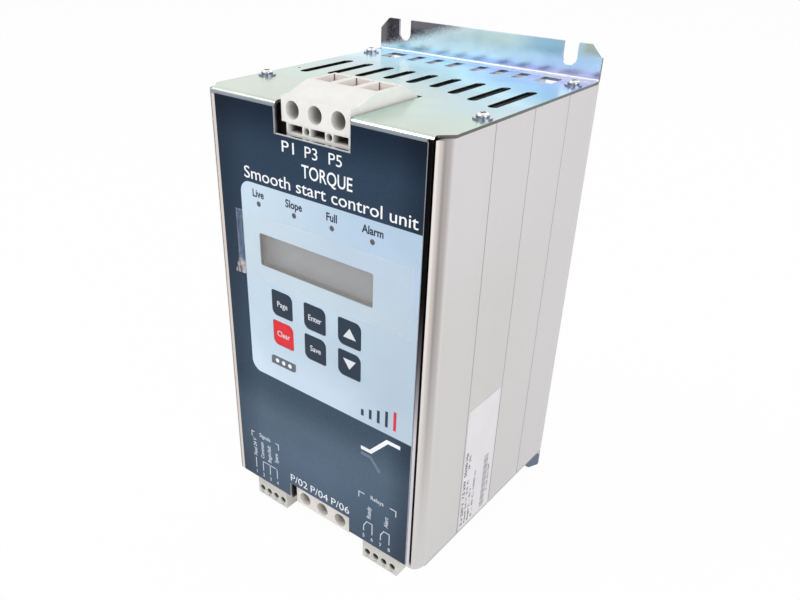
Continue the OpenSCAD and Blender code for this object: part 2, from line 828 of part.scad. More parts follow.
module control_board() {
    z0 = -hh + control_end_in;
    z1 = hh - control_top_in;
    n = notch_hw + 1;
    color([0.1, 0.4, 0.25]) difference() {
        block(-control_w / 2, control_w / 2, y_control, y_control_rear, z0, z1);
        block(-n, n, y_control - 1, y_control_rear + 1, z0 - 1, -pole_z + block_drop + 2);
        for (sx = [-1, 1], sz = [-1, 1])
            rod(sx * spacer_x, pane_z + sz * spacer_z, spacer_pin_r + thread_fit,
                y_control - 1, y_control_rear + 1);
        for (sx = [-1, 1], z = [stand_top, stand_low])
            rod(sx * stand_x, z, board_screw_r + 0.2, y_control - 1, y_control_rear + 1);
        for (s = [-1, 1], k = [-1.5:1.5]) {
            x = s * ctl_x + k * ctl_pitch;
            block(x - 0.55, x + 0.55, y_control - 1, y_control_rear + 1,
                -hh + ctl_inside - 4.15, -hh + ctl_inside - 2.85);
        }
    }
}

module board_standoffs() {
    color([0.75, 0.72, 0.6]) for (sx = [-1, 1], z = [stand_top, stand_low]) difference() {
        union() {
            rod(sx * stand_x, z, stand_r, y_in, y_control);
            rod(sx * stand_x, z, spigot_r, y_sheet + 0.1, y_in + 0.1);
        }
        rod(sx * stand_x, z, board_screw_r + thread_fit, y_control - 7, y_control + 1);
    }
}

module board_screws() {
    color([0.8, 0.8, 0.8]) for (sx = [-1, 1], z = [stand_top, stand_low]) {
        rod(sx * stand_x, z, 2 * board_screw_r, y_control_rear, y_control_rear + 0.75 * head_h);
        rod(sx * stand_x, z, board_screw_r, y_control - 6, y_control_rear + 0.1);
    }
}

module control_chips() {
    y = y_control_rear;
    color([0.08, 0.08, 0.09]) {
        block(-chip_w / 2, chip_w / 2, y, y + chip_t, -chip_w / 2, chip_w / 2);
        for (s = [-1, 1])
            block(s * driver_x - driver_w / 2, s * driver_x + driver_w / 2, y, y + chip_t,
                driver_z - driver_h / 2, driver_z + driver_h / 2);
    }
}

module link_cable() {
    color([0.7, 0.7, 0.68]) {
        for (y = [y_control_rear, y_power - header_d])
            block(-header_w / 2, header_w / 2, y, y + header_d,
                -ribbon_drop - header_h / 2, -ribbon_drop + header_h / 2);
        block(-ribbon_w / 2, ribbon_w / 2, y_control_rear + header_d - 1, y_power - header_d + 1,
            -ribbon_drop - ribbon_t / 2, -ribbon_drop + ribbon_t / 2);
    }
}

module power_board() {
    a = hw - wall_t - power_gap;
    b = hh - power_end_in;
    color([0.1, 0.4, 0.25]) difference() {
        block(-a, a, y_power, y_power_rear, -b, b);
        for (m = [-1:1], s = [-1, 1]) {
            rod(m * module_pitch, s * post_pitch / 2, post_screw_r + 0.25, y_power - 1, y_power_rear + 1);
            block(m * pole_pitch - bar_w / 2 - bar_play, m * pole_pitch + bar_w / 2 + bar_play,
                y_power - 1, y_power_rear + 1, s * (bar_low_z + bar_t / 2) - bar_t / 2 - bar_play,
                s * (bar_low_z + bar_t / 2) + bar_t / 2 + bar_play);
        }
        for (sx = [-1, 1], s = [-1, 1])
            rod(sx * peg_x, s * peg_z, peg_r + 0.05, y_power - 1, y_power_rear + 1);
    }
}

module power_modules() {
    color([0.1, 0.1, 0.11]) for (m = [-1:1]) {
        x = m * module_pitch;
        e = module_screw_z + head_r + 0.6;
        difference() {
            union() {
                block(x - module_w / 2, x + module_w / 2, y_web - module_base_t, y_web, -e, e);
                block(x - module_w / 2, x + module_w / 2, y_web - module_d, y_web,
                    -module_h / 2, module_h / 2);
            }
            for (s = [-1, 1]) {
                rod(x, s * module_screw_z, module_screw_r + 0.25, y_web - module_base_t - 1, y_web + 1);
                rod(x, s * post_pitch / 2, post_screw_r + thread_fit,
                    y_web - module_d - 1, y_web - module_d + 6.5);
            }
        }
    }
}

module module_screws() {
    color([0.75, 0.75, 0.75]) for (m = [-1:1], s = [-1, 1]) {
        y = y_web - module_base_t;
        rod(m * module_pitch, s * module_screw_z, head_r, y - head_h, y);
        rod(m * module_pitch, s * module_screw_z, module_screw_r, y - 0.1, y_web + module_thread - 0.5);
    }
}

module module_posts() {
    color([0.8, 0.66, 0.3]) for (m = [-1:1], s = [-1, 1]) difference() {
        union() {
            rod(m * module_pitch, s * post_pitch / 2, post_r, y_power_rear, y_web - module_d);
            rod(m * module_pitch, s * post_pitch / 2, post_screw_r, y_web - module_d - 0.1,
                y_web - module_d + 6);
        }
        rod(m * module_pitch, s * post_pitch / 2, post_screw_r + thread_fit,
            y_power_rear - 1, y_power_rear + 8.5);
    }
}

module power_board_screws() {
    color([0.8, 0.8, 0.8]) for (m = [-1:1], s = [-1, 1]) {
        rod(m * module_pitch, s * post_pitch / 2, head_r, y_power - head_h, y_power);
        rod(m * module_pitch, s * post_pitch / 2, post_screw_r, y_power - 0.1, y_power_rear + 8);
    }
}

module bypass_relays() {
    color([0.12, 0.14, 0.2]) for (m = [-1:1]) {
        x = m * module_pitch;
        block(x - relay_w / 2, x + relay_w / 2, y_power - relay_d, y_power,
            relay_z - relay_h / 2, relay_z + relay_h / 2);
    }
}

module current_transformers() {
    color([0.15, 0.3, 0.2]) for (m = [-1:1]) difference() {
        rod(m * module_pitch, -coil_drop, coil_r, y_power - coil_d, y_power);
        rod(m * module_pitch, -coil_drop, coil_hole_r, y_power - coil_d - 1, y_power + 1);
    }
}

// Power terminals. The lower set is the upper one turned half round about the depth.

peg_x = pole_pitch / 2;
peg_z = pole_z - face_drop - 2.9;

module terminal_block() {
    top = pole_z + block_top_up;
    low = pole_z - face_drop;
    base = pole_z - block_drop;
    y_strip = y_block + strip_back;
    difference() {
        union() {
            along_x(block_w)
                polygon([[y_block, low], [y_block, pole_z + block_front_up],
                    [y_block + ramp_start, pole_z + block_front_up + 0.3],
                    [y_block + ramp_end, top], [y_block + top_end, top],
                    [y_power, pole_z + block_rear_up], [y_power, low]]);
            along_x(block_w - 2 * strip_in)
                polygon([[y_strip, base], [y_strip, low + 1], [y_power, low + 1], [y_power, base]]);
            for (s = [-1, 1]) rod(s * peg_x, peg_z, peg_r, y_power - 1, y_power_rear - 0.2);
        }
        for (k = [-1:1]) pole_cuts(k * pole_pitch, top, y_strip);
        for (s = [-1, 1])
            rod(s * pole_pitch / 2, low - probe_drop, key_hole_r, y_strip - 1, y_strip + key_hole_depth);
    }
}

module pole_cuts(x, top, y_strip) {
    c = cage_w / 2 + cage_room;
    h = cage_h / 2 + cage_room;
    b = bar_w / 2 + bar_play;
    rod(x, pole_z, access_d / 2, y_block - 1, y_seat);
    rod(x, pole_z, clamp_d / 2 + clamp_fit, y_seat - 1, y_chamber + 1);
    block(x - c, x + c, y_chamber, y_chamber_rear, pole_z - h, pole_z + h);
    block(x - entry_w / 2, x + entry_w / 2, y_chamber_rear - entry_len - 0.5, y_chamber_rear - 0.5,
        pole_z, top + 1);
    block(x - b, x + b, y_bar - bar_play, y_bar_rear + bar_play, bar_low_z - bar_play, pole_z);
    block(x - b, x + b, y_bar - bar_play, y_power + 1, bar_low_z - bar_play, bar_low_z + bar_t + bar_play);
    block(x - probe_w / 2, x + probe_w / 2, y_strip - 1, y_strip + probe_depth,
        pole_z - face_drop - probe_drop - probe_h / 2, pole_z - face_drop - probe_drop + probe_h / 2);
}

module line_terminal_block() {
    color([0.93, 0.91, 0.88]) terminal_block();
}

module load_terminal_block() {
    color([0.93, 0.91, 0.88]) rotate([0, 180, 0]) terminal_block();
}

module busbars() {
    for (k = [-1:1]) {
        x = k * pole_pitch;
        block(x - bar_w / 2, x + bar_w / 2, y_bar, y_bar_rear, bar_low_z, pole_z + cage_h / 2 - 0.5);
        block(x - bar_w / 2, x + bar_w / 2, y_bar, y_power_rear + 1.5, bar_low_z, bar_low_z + bar_t);
    }
}

module line_busbars() {
    color([0.82, 0.78, 0.72]) busbars();
}

module load_busbars() {
    color([0.82, 0.78, 0.72]) rotate([0, 180, 0]) busbars();
}

module clamp_screw(k) {
    x = k * pole_pitch;
    y = y_seat - clamp_head_h;
    color([0.72, 0.72, 0.70]) difference() {
        union() {
            rod(x, pole_z, clamp_head_d / 2, y, y_seat);
            rod(x, pole_z, clamp_d / 2, y_seat - 0.1, y_bar - tip_gap);
        }
        block(x - 2.2, x + 2.2, y - 1, y + 1.5, pole_z - 0.5, pole_z + 0.5);
        block(x - 0.5, x + 0.5, y - 1, y + 1.5, pole_z - 2.2, pole_z + 2.2);
    }
}

module clamp_cage(k) {
    x = k * pole_pitch;
    a = cage_w / 2;
    color([0.66, 0.66, 0.64]) difference() {
        block(x - a, x + a, y_cage_front, y_cage_rear, pole_z - cage_h / 2, pole_z + cage_h / 2);
        block(x - a + cage_side_t, x + a - cage_side_t, y_cage_inner, y_cage_rear_in,
            pole_z - cage_h, pole_z + cage_h);
        rod(x, pole_z, clamp_d / 2 + clamp_fit, y_cage_front - 1, y_cage_inner + 1);
    }
}

// Control terminals

module control_block(s) {
    x0 = s * ctl_x;
    z0 = -hh - ctl_below;
    color([0.92, 0.91, 0.88]) difference() {
        block(x0 - ctl_w / 2, x0 + ctl_w / 2, y_ctl, y_control, z0, -hh + ctl_inside);
        for (k = [-1.5:1.5]) {
            x = x0 + k * ctl_pitch;
            rod(x, ctl_axis_z, ctl_access_d / 2, y_ctl - 1, y_ctl_seat);
            rod(x, ctl_axis_z, ctl_shank_d / 2 + ctl_fit, y_ctl_seat - 1, y_wire + 0.1);
            block(x - ctl_wire_w / 2, x + ctl_wire_w / 2, y_wire, y_wire_rear, z0 - 1, ctl_axis_z + 2.5);
            block(x - 1.3, x + 1.3, y_wire_rear - 0.1, y_wire_rear + 0.7, z0 + 1.5, -hh + ctl_inside - 2.9);
            block(x - 0.5, x + 0.5, y_wire_rear, y_control + 1,
                -hh + ctl_inside - 4.1, -hh + ctl_inside - 2.9);
            block(x - ctl_mark_w / 2, x + ctl_mark_w / 2, y_ctl - 1, y_ctl + ctl_mark_d,
                ctl_axis_z - 3.1, ctl_axis_z - 2.5);
        }
    }
}

module input_terminal_block() {
    control_block(-1);
}

module output_terminal_block() {
    control_block(1);
}

module control_contacts() {
    z0 = -hh - ctl_below;
    z1 = -hh + ctl_inside;
    color([0.8, 0.78, 0.7]) for (s = [-1, 1], k = [-1.5:1.5]) {
        x = s * ctl_x + k * ctl_pitch;
        block(x - 1.2, x + 1.2, y_wire_rear, y_wire_rear + 0.6, z0 + 1.6, z1 - 3);
        block(x - 0.4, x + 0.4, y_wire_rear, y_control_rear + 1, z1 - 4, z1 - 3);
    }
}

module control_screw(s, k) {
    x = s * ctl_x + k * ctl_pitch;
    y = y_ctl_seat - ctl_head_h;
    color([0.7, 0.7, 0.68]) difference() {
        union() {
            rod(x, ctl_axis_z, ctl_head_d / 2, y, y_ctl_seat, $fn = 24);
            rod(x, ctl_axis_z, ctl_shank_d / 2, y_ctl_seat - 0.1, y_wire + 0.5, $fn = 24);
        }
        block(x - 2, x + 2, y - 1, y + 0.7, ctl_axis_z - 0.25, ctl_axis_z + 0.25);
    }
}

navy = [0.18, 0.23, 0.31];
red = [0.6, 0.1, 0.12];

heatsink_body();
chassis_cover();
front_label();
display_pane();
display_frame();
display_panel();
display_board();
display_spacers();
protective_film();
side_sticker();
cover_screws_top();
cover_screws_bottom();
lamp_lenses();
lamps();
key_switches();
control_board();
board_standoffs();
board_screws();
control_chips();
link_cable();
power_board();
line_terminal_block();
load_terminal_block();
line_busbars();
load_busbars();
input_terminal_block();
output_terminal_block();
control_contacts();
power_modules();
module_screws();
module_posts();
power_board_screws();
bypass_relays();
current_transformers();
key_part(-1, 0, navy);  // key_menu
key_part(0, 0, navy);  // key_enter
key_part(1, 0, navy);  // key_up
key_part(-1, 1, red);  // key_reset
key_part(0, 1, navy);  // key_view
key_part(1, 1, navy);  // key_down
clamp_screw(-1);  // line_screw_1
clamp_screw(0);  // line_screw_2
clamp_screw(1);  // line_screw_3
rotate([0, 180, 0]) clamp_screw(1);  // load_screw_1
rotate([0, 180, 0]) clamp_screw(0);  // load_screw_2
rotate([0, 180, 0]) clamp_screw(-1);  // load_screw_3
clamp_cage(-1);  // line_cage_1
clamp_cage(0);  // line_cage_2
clamp_cage(1);  // line_cage_3
rotate([0, 180, 0]) clamp_cage(1);  // load_cage_1
rotate([0, 180, 0]) clamp_cage(0);  // load_cage_2
rotate([0, 180, 0]) clamp_cage(-1);  // load_cage_3
control_screw(-1, -1.5);  // input_screw_1
control_screw(-1, -0.5);  // input_screw_2
control_screw(-1, 0.5);  // input_screw_3
control_screw(-1, 1.5);  // input_screw_4
control_screw(1, -1.5);  // output_screw_1
control_screw(1, -0.5);  // output_screw_2
control_screw(1, 0.5);  // output_screw_3
control_screw(1, 1.5);  // output_screw_4
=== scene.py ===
"""Looks of the soft starter: the finish of every part, the printed legends and the loose film tab."""
import math

import bmesh
import bpy
from mathutils import Matrix, Vector


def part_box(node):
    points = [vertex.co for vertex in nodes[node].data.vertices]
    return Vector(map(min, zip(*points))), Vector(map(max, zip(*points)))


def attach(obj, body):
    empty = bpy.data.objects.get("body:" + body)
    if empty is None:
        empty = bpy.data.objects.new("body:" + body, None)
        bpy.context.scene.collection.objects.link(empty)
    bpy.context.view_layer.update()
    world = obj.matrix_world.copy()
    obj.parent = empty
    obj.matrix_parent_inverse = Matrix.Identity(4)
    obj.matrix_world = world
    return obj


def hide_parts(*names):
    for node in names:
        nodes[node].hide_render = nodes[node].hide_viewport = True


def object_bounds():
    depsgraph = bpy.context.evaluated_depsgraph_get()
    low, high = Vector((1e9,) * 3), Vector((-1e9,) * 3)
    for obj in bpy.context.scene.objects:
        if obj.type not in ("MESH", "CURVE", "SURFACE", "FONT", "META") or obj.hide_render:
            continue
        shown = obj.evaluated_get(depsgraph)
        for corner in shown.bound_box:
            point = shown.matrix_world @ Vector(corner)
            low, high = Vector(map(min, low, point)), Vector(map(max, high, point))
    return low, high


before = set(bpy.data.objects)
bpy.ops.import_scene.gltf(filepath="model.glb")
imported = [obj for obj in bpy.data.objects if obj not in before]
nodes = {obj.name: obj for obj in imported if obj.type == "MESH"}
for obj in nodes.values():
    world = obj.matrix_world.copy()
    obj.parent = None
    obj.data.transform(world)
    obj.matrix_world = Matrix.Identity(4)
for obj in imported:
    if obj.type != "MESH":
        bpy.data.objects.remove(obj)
cad_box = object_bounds()

MM = 0.001


def paint(red, green, blue):
    """A colour as it looks on the object, 0 to 255 a channel, in linear values."""
    def linear(v):
        v = v / 255
        return v / 12.92 if v <= 0.04045 else ((v + 0.055) / 1.055) ** 2.4
    return (linear(red), linear(green), linear(blue), 1.0)


def in_scene(name, data):
    """A new object of the scene."""
    made = bpy.data.objects.new(name, data)
    bpy.context.scene.collection.objects.link(made)
    return made


# Places on the object, in millimetres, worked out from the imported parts

def box_mm(node):
    low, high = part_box(node)
    return low / MM, high / MM


label_low, label_high = box_mm("front_label")
body_low, body_high = box_mm("heatsink_body")
cover_low, cover_high = box_mm("chassis_cover")
film_low, film_high = box_mm("protective_film")
pane_low, pane_high = box_mm("display_pane")
panel_low = box_mm("display_panel")[0]
sticker_low, sticker_high = box_mm("side_sticker")
line_low, line_high = box_mm("line_terminal_block")
input_low, input_high = box_mm("input_terminal_block")
output_low, output_high = box_mm("output_terminal_block")
screws_low, screws_high = box_mm("cover_screws_top")
label_face = label_low.y

# Folded sheet: its thickness, a little more than the pane's, and the outer face of its top plate
sheet_thick = pane_high.y - pane_low.y + 0.1
plate_top = body_high.z + sheet_thick

# Power terminals: poles, screwdriver holes, lower strip, wire entries and test openings
pole_low, pole_high = box_mm("line_screw_3")
next_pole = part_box("line_screw_2")[0].x / MM
pole_pitch = pole_low.x - next_pole
pole_up = (pole_low.z + pole_high.z) / 2
driver_radius = 3.55
strip_face = line_low.y + 1.5
entry_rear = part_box("line_cage_2")[1].y / MM - 0.1
entry_half, entry_long = 4.3, 12.5
probe_up = pole_up - 7.6
probe_half, probe_half_tall, key_hole_radius = 3.7, 1.6, 1.5

# Control terminals: height, pitch, middle and holes of the screws
control_screw = box_mm("output_screw_1")
control_up = (control_screw[0].z + control_screw[1].z) / 2
control_pitch = 5.08
control_middle = (output_low.x + output_high.x) / 2
control_radius = 1.8

# Cover screws
washer_radius, head_radius, cross_radius = 3.8, 2.6, 1.5

# Keys: the middle of each and the depth of its face
key_places = {}
for key in ("key_menu", "key_enter", "key_up", "key_reset", "key_view", "key_down"):
    low, high = box_mm(key)
    key_places[key] = ((low.x + high.x) / 2, low.y, (low.z + high.z) / 2)

# Light field of the label: its left, top and lower edge and the radius of its corners
field_left = label_low.x + 12.3
field_top = 65.3
field_low = -29.5
field_corner = 5.5

# Loose film: its left edge over the navy print and the height where its end starts to crumple
film_left = film_low.x + 3.6
film_crumple = film_low.z + 8.5


# Node wiring

class Wiring:
    """Short calls for the nodes of one material or node group."""

    def __init__(self, tree):
        self.tree = tree

    def feed(self, socket, value):
        if isinstance(value, bpy.types.NodeSocket):
            self.tree.links.new(value, socket)
        else:
            socket.default_value = value

    def node(self, kind, inputs=None, **settings):
        made = self.tree.nodes.new(kind)
        for name, value in settings.items():
            setattr(made, name, value)
        for name, value in (inputs or {}).items():
            self.feed(made.inputs[name], value)
        return made

    def maths(self, operation, a, b=0.0, c=0.0, clamp=False):
        made = self.node("ShaderNodeMath", {0: a, 1: b, 2: c}, operation=operation, use_clamp=clamp)
        return made.outputs[0]

    def times(self, value, *shares):
        """The product of all the values."""
        for share in shares:
            value = self.maths("MULTIPLY", value, share)
        return value

    def added(self, value, share, base, clamp=False):
        """base with a share of value on top."""
        return self.maths("MULTIPLY_ADD", value, share, base, clamp)

    def less(self, value, other):
        return self.maths("SUBTRACT", value, other)

    def most(self, value, other):
        return self.maths("MAXIMUM", value, other)

    def away(self, value, middle=None):
        """How far value lies from middle, or from zero."""
        if middle is not None:
            value = self.less(value, middle)
        return self.maths("ABSOLUTE", value)

    def apart(self, a, b):
        """The distance that two differences at right angles make."""
        return self.maths("SQRT", self.maths("ADD", self.times(a, a), self.times(b, b)))

    def span(self, value, start, end, low=0.0, high=1.0):
        """value from start to end, eased to low ... high."""
        made = self.node("ShaderNodeMapRange", {"Value": value, "From Min": start, "From Max": end,
                                                "To Min": low, "To Max": high},
                         interpolation_type="SMOOTHSTEP")
        return made.outputs["Result"]

    def between(self, value, low, low_full, high_full, high):
        """1 from low_full to high_full, eased to 0 at low and at high."""
        return self.times(self.span(value, low, low_full), self.span(value, high, high_full))

    def blend(self, share, first, second, kind="MIX"):
        made = self.node("ShaderNodeMix", data_type="RGBA", blend_type=kind)
        self.feed(made.inputs[0], share)
        self.feed(made.inputs[6], first)
        self.feed(made.inputs[7], second)
        return made.outputs[2]

    def ramp(self, value, stops):
        made = self.node("ShaderNodeValToRGB", {"Fac": value})
        made.color_ramp.interpolation = "EASE"
        elements = made.color_ramp.elements
        while len(elements) < len(stops):
            elements.new(0.5)
        for element, (place, colour) in zip(elements, stops):
            element.position = place
            element.color = paint(*colour)
        return made.outputs["Color"]

    def noise(self, vector, scale, detail=2.0, roughness=0.5):
        made = self.node("ShaderNodeTexNoise", {"Vector": vector, "Scale": scale, "Detail": detail,
                                                "Roughness": roughness})
        return made.outputs["Fac"]

    def place(self):
        return self.node("ShaderNodeTexCoord").outputs["Object"]

    def drawn(self, stretch):
        """The place on the object, stretched along its axes."""
        made = self.node("ShaderNodeVectorMath", {0: self.place(), 1: stretch}, operation="MULTIPLY")
        return made.outputs[0]

    def three(self, vector):
        return tuple(self.node("ShaderNodeSeparateXYZ", {0: vector}).outputs)

    def axes_mm(self):
        """Across, deep and up in millimetres."""
        return self.three(self.drawn((1 / MM,) * 3))

    def facing(self, normal="True Normal"):
        """The surface's own direction as three values."""
        return self.three(self.node("ShaderNodeNewGeometry").outputs[normal])

    def placed(self, group, inputs):
        made = self.node("ShaderNodeGroup", node_tree=group)
        for name, value in inputs.items():
            self.feed(made.inputs[name], value)
        return made.outputs


def new_group(name, inputs, outputs):
    """A node group that takes values or vectors and gives values."""
    group = bpy.data.node_groups.new(name, "ShaderNodeTree")
    for label, value in inputs.items():
        kind = "NodeSocketVector" if isinstance(value, tuple) else "NodeSocketFloat"
        group.interface.new_socket(label, in_out="INPUT", socket_type=kind).default_value = value
    for label in outputs:
        group.interface.new_socket(label, in_out="OUTPUT", socket_type="NodeSocketFloat")
    wire = Wiring(group)
    return group, wire, wire.node("NodeGroupInput").outputs, wire.node("NodeGroupOutput").inputs


def surface_grain_group():
    """Fine grain of a surface: a shade around 1 and a height, stretched along a direction if asked."""
    group, wire, given, out = new_group(
        "Surface grain", {"Grain mm": 0.4, "Stretch": (1, 1, 1), "Strength": 0.05}, ["Shade", "Height"])
    scale = wire.maths("DIVIDE", 1 / MM, given["Grain mm"])
    height = wire.noise(wire.drawn(given["Stretch"]), scale, detail=3.0, roughness=0.6)
    swing = wire.times(wire.less(height, 0.5), wire.times(given["Strength"], 2.0))
    wire.feed(out["Shade"], wire.maths("ADD", swing, 1.0))
    wire.feed(out["Height"], height)
    return group


def soft_patches_group():
    """Wide soft patches, as handling and uneven finish leave them."""
    group, wire, given, out = new_group(
        "Soft patches", {"Patch mm": 30.0, "Stretch": (1, 1, 1)}, ["Mask"])
    scale = wire.maths("DIVIDE", 1 / MM, given["Patch mm"])
    cloud = wire.noise(wire.drawn(given["Stretch"]), scale, detail=4.0)
    wire.feed(out["Mask"], wire.span(cloud, 0.32, 0.68))
    return group


def rounded_field_group():
    """Distance outside a rectangle with round corners, in millimetres; below zero inside it."""
    names = "Across", "Up", "Middle across", "Middle up", "Half width", "Half height", "Corner"
    group, wire, given, out = new_group("Rounded field", dict.fromkeys(names, 0.0), ["Outside"])

    def reach(place, middle, half):
        away = wire.away(given[place], given[middle])
        return wire.maths("ADD", wire.less(away, given[half]), given["Corner"])
    a = reach("Across", "Middle across", "Half width")
    b = reach("Up", "Middle up", "Half height")
    round_part = wire.apart(wire.most(a, 0.0), wire.most(b, 0.0))
    inside = wire.maths("MINIMUM", wire.most(a, b), 0.0)
    wire.feed(out["Outside"], wire.less(wire.maths("ADD", round_part, inside), given["Corner"]))
    return group


surface_grain = surface_grain_group()
soft_patches = soft_patches_group()
rounded_field = rounded_field_group()


def outside_field(wire, across, up, low, high, corner):
    """The Rounded field between its low and high corner, each given as across and up."""
    return wire.placed(rounded_field, {
        "Across": across, "Middle across": (low[0] + high[0]) / 2, "Half width": (high[0] - low[0]) / 2,
        "Up": up, "Middle up": (low[1] + high[1]) / 2, "Half height": (high[1] - low[1]) / 2,
        "Corner": corner})["Outside"]


class Finish:
    """One finish: its material, its Principled shader and the wiring that feeds it."""

    def __init__(self, name, roughness, metallic=0.0, shine=0.5):
        self.data = bpy.data.materials.new(name)
        self.data.use_nodes = True
        self.wire = Wiring(self.data.node_tree)
        self.shader = self.data.node_tree.nodes["Principled BSDF"]
        self.roughness = roughness
        self.shader.inputs["Metallic"].default_value = metallic
        self.shader.inputs["Specular IOR Level"].default_value = shine

    def dress(self, colour, grain_mm=0.5, shade=0.06, rough_swing=0.1, bump_mm=0.004, stretch=(1, 1, 1),
              patch_mm=10.0, patch_shade=0.04, rough=None):
        """The material, with the grain and the soft patches in its colour, roughness and relief."""
        wire, inputs = self.wire, self.shader.inputs
        grain = wire.placed(surface_grain, {"Grain mm": grain_mm, "Stretch": stretch, "Strength": shade})
        patch = wire.placed(soft_patches, {"Patch mm": patch_mm, "Stretch": stretch})
        level = wire.span(patch["Mask"], 0.0, 1.0, 1.0 - patch_shade, 1.0 + patch_shade)
        level = wire.times(level, grain["Shade"])
        wire.feed(inputs["Base Color"], wire.blend(1.0, colour, level, "MULTIPLY"))
        start = self.roughness if rough is None else rough
        swing = wire.times(wire.less(grain["Height"], 0.5), rough_swing)
        swing = wire.maths("ADD", swing, wire.times(patch["Mask"], rough_swing * 0.4))
        wire.feed(inputs["Roughness"], wire.maths("ADD", start, swing, clamp=True))
        if bump_mm:
            relief = wire.node("ShaderNodeBump", {"Height": grain["Height"], "Distance": bump_mm * MM,
                                                  "Strength": 0.6})
            wire.feed(inputs["Normal"], relief.outputs["Normal"])
        return self.data


def one_colour(name, roughness, colour, metallic=0.0, shine=0.5, **grain):
    return Finish(name, roughness, metallic, shine).dress(colour, **grain)


# Finishes of the metal parts

def body_aluminium():
    """Satin drawn aluminium: long lines along the profile, with a painted reflection round the front corners
    and painted light on the fins at the rear.
    """
    finish = Finish("Satin drawn aluminium", 0.48, metallic=0.3, shine=0.3)
    wire = finish.wire
    across, deep, up = wire.axes_mm()
    front, rear, wall = body_low.y, body_high.y, body_high.x
    satin_tone = (203, 201, 202)
    satin = wire.blend(wire.span(up, 20.0, 75.0), paint(199, 197, 196), paint(*satin_tone))
    # Painted reflection round the front corner: a light line at the lip, then a dark band; it fades downwards
    depth_line = wire.node("ShaderNodeMapRange", {"Value": deep, "From Min": front, "From Max": front + 16.0})
    corner_reflection = wire.ramp(depth_line.outputs["Result"], [
        (0.02, (222, 214, 210)), (0.06, (192, 185, 181)), (0.13, (143, 138, 136)),
        (0.21, (162, 157, 155)), (0.42, satin_tone), (1.0, satin_tone)])
    corner = wire.times(wire.span(deep, front + 8.0, front + 6.0), wire.span(up, -100.0, 45.0, 0.05, 1.0))
    tone = wire.blend(corner, satin, corner_reflection)
    tone = wire.blend(wire.span(deep, rear - 70.0, rear), tone, paint(201, 199, 200))
    # Floor and walls of the grooves lie in shade
    aside = wire.away(across)
    groove = wire.times(wire.between(aside, wall - 2.5, wall - 2.0, wall - 0.2, wall - 0.06),
                        wire.between(deep, front + 9.0, front + 10.0, rear - 2.0, rear - 1.0))
    tone = wire.blend(groove, tone, paint(166, 163, 165))
    # Painted light on the fins behind the back wall
    lit_fins = wire.times(wire.span(deep, rear - 31.0, rear - 30.0), wire.span(aside, wall - 3.0, wall - 4.0))
    tone = wire.blend(lit_fins, tone, paint(250, 247, 250))
    return finish.dress(tone, shade=0.03, bump_mm=0.005, stretch=(1.0, 1.0, 0.012), patch_mm=40.0,
                        patch_shade=0.012)


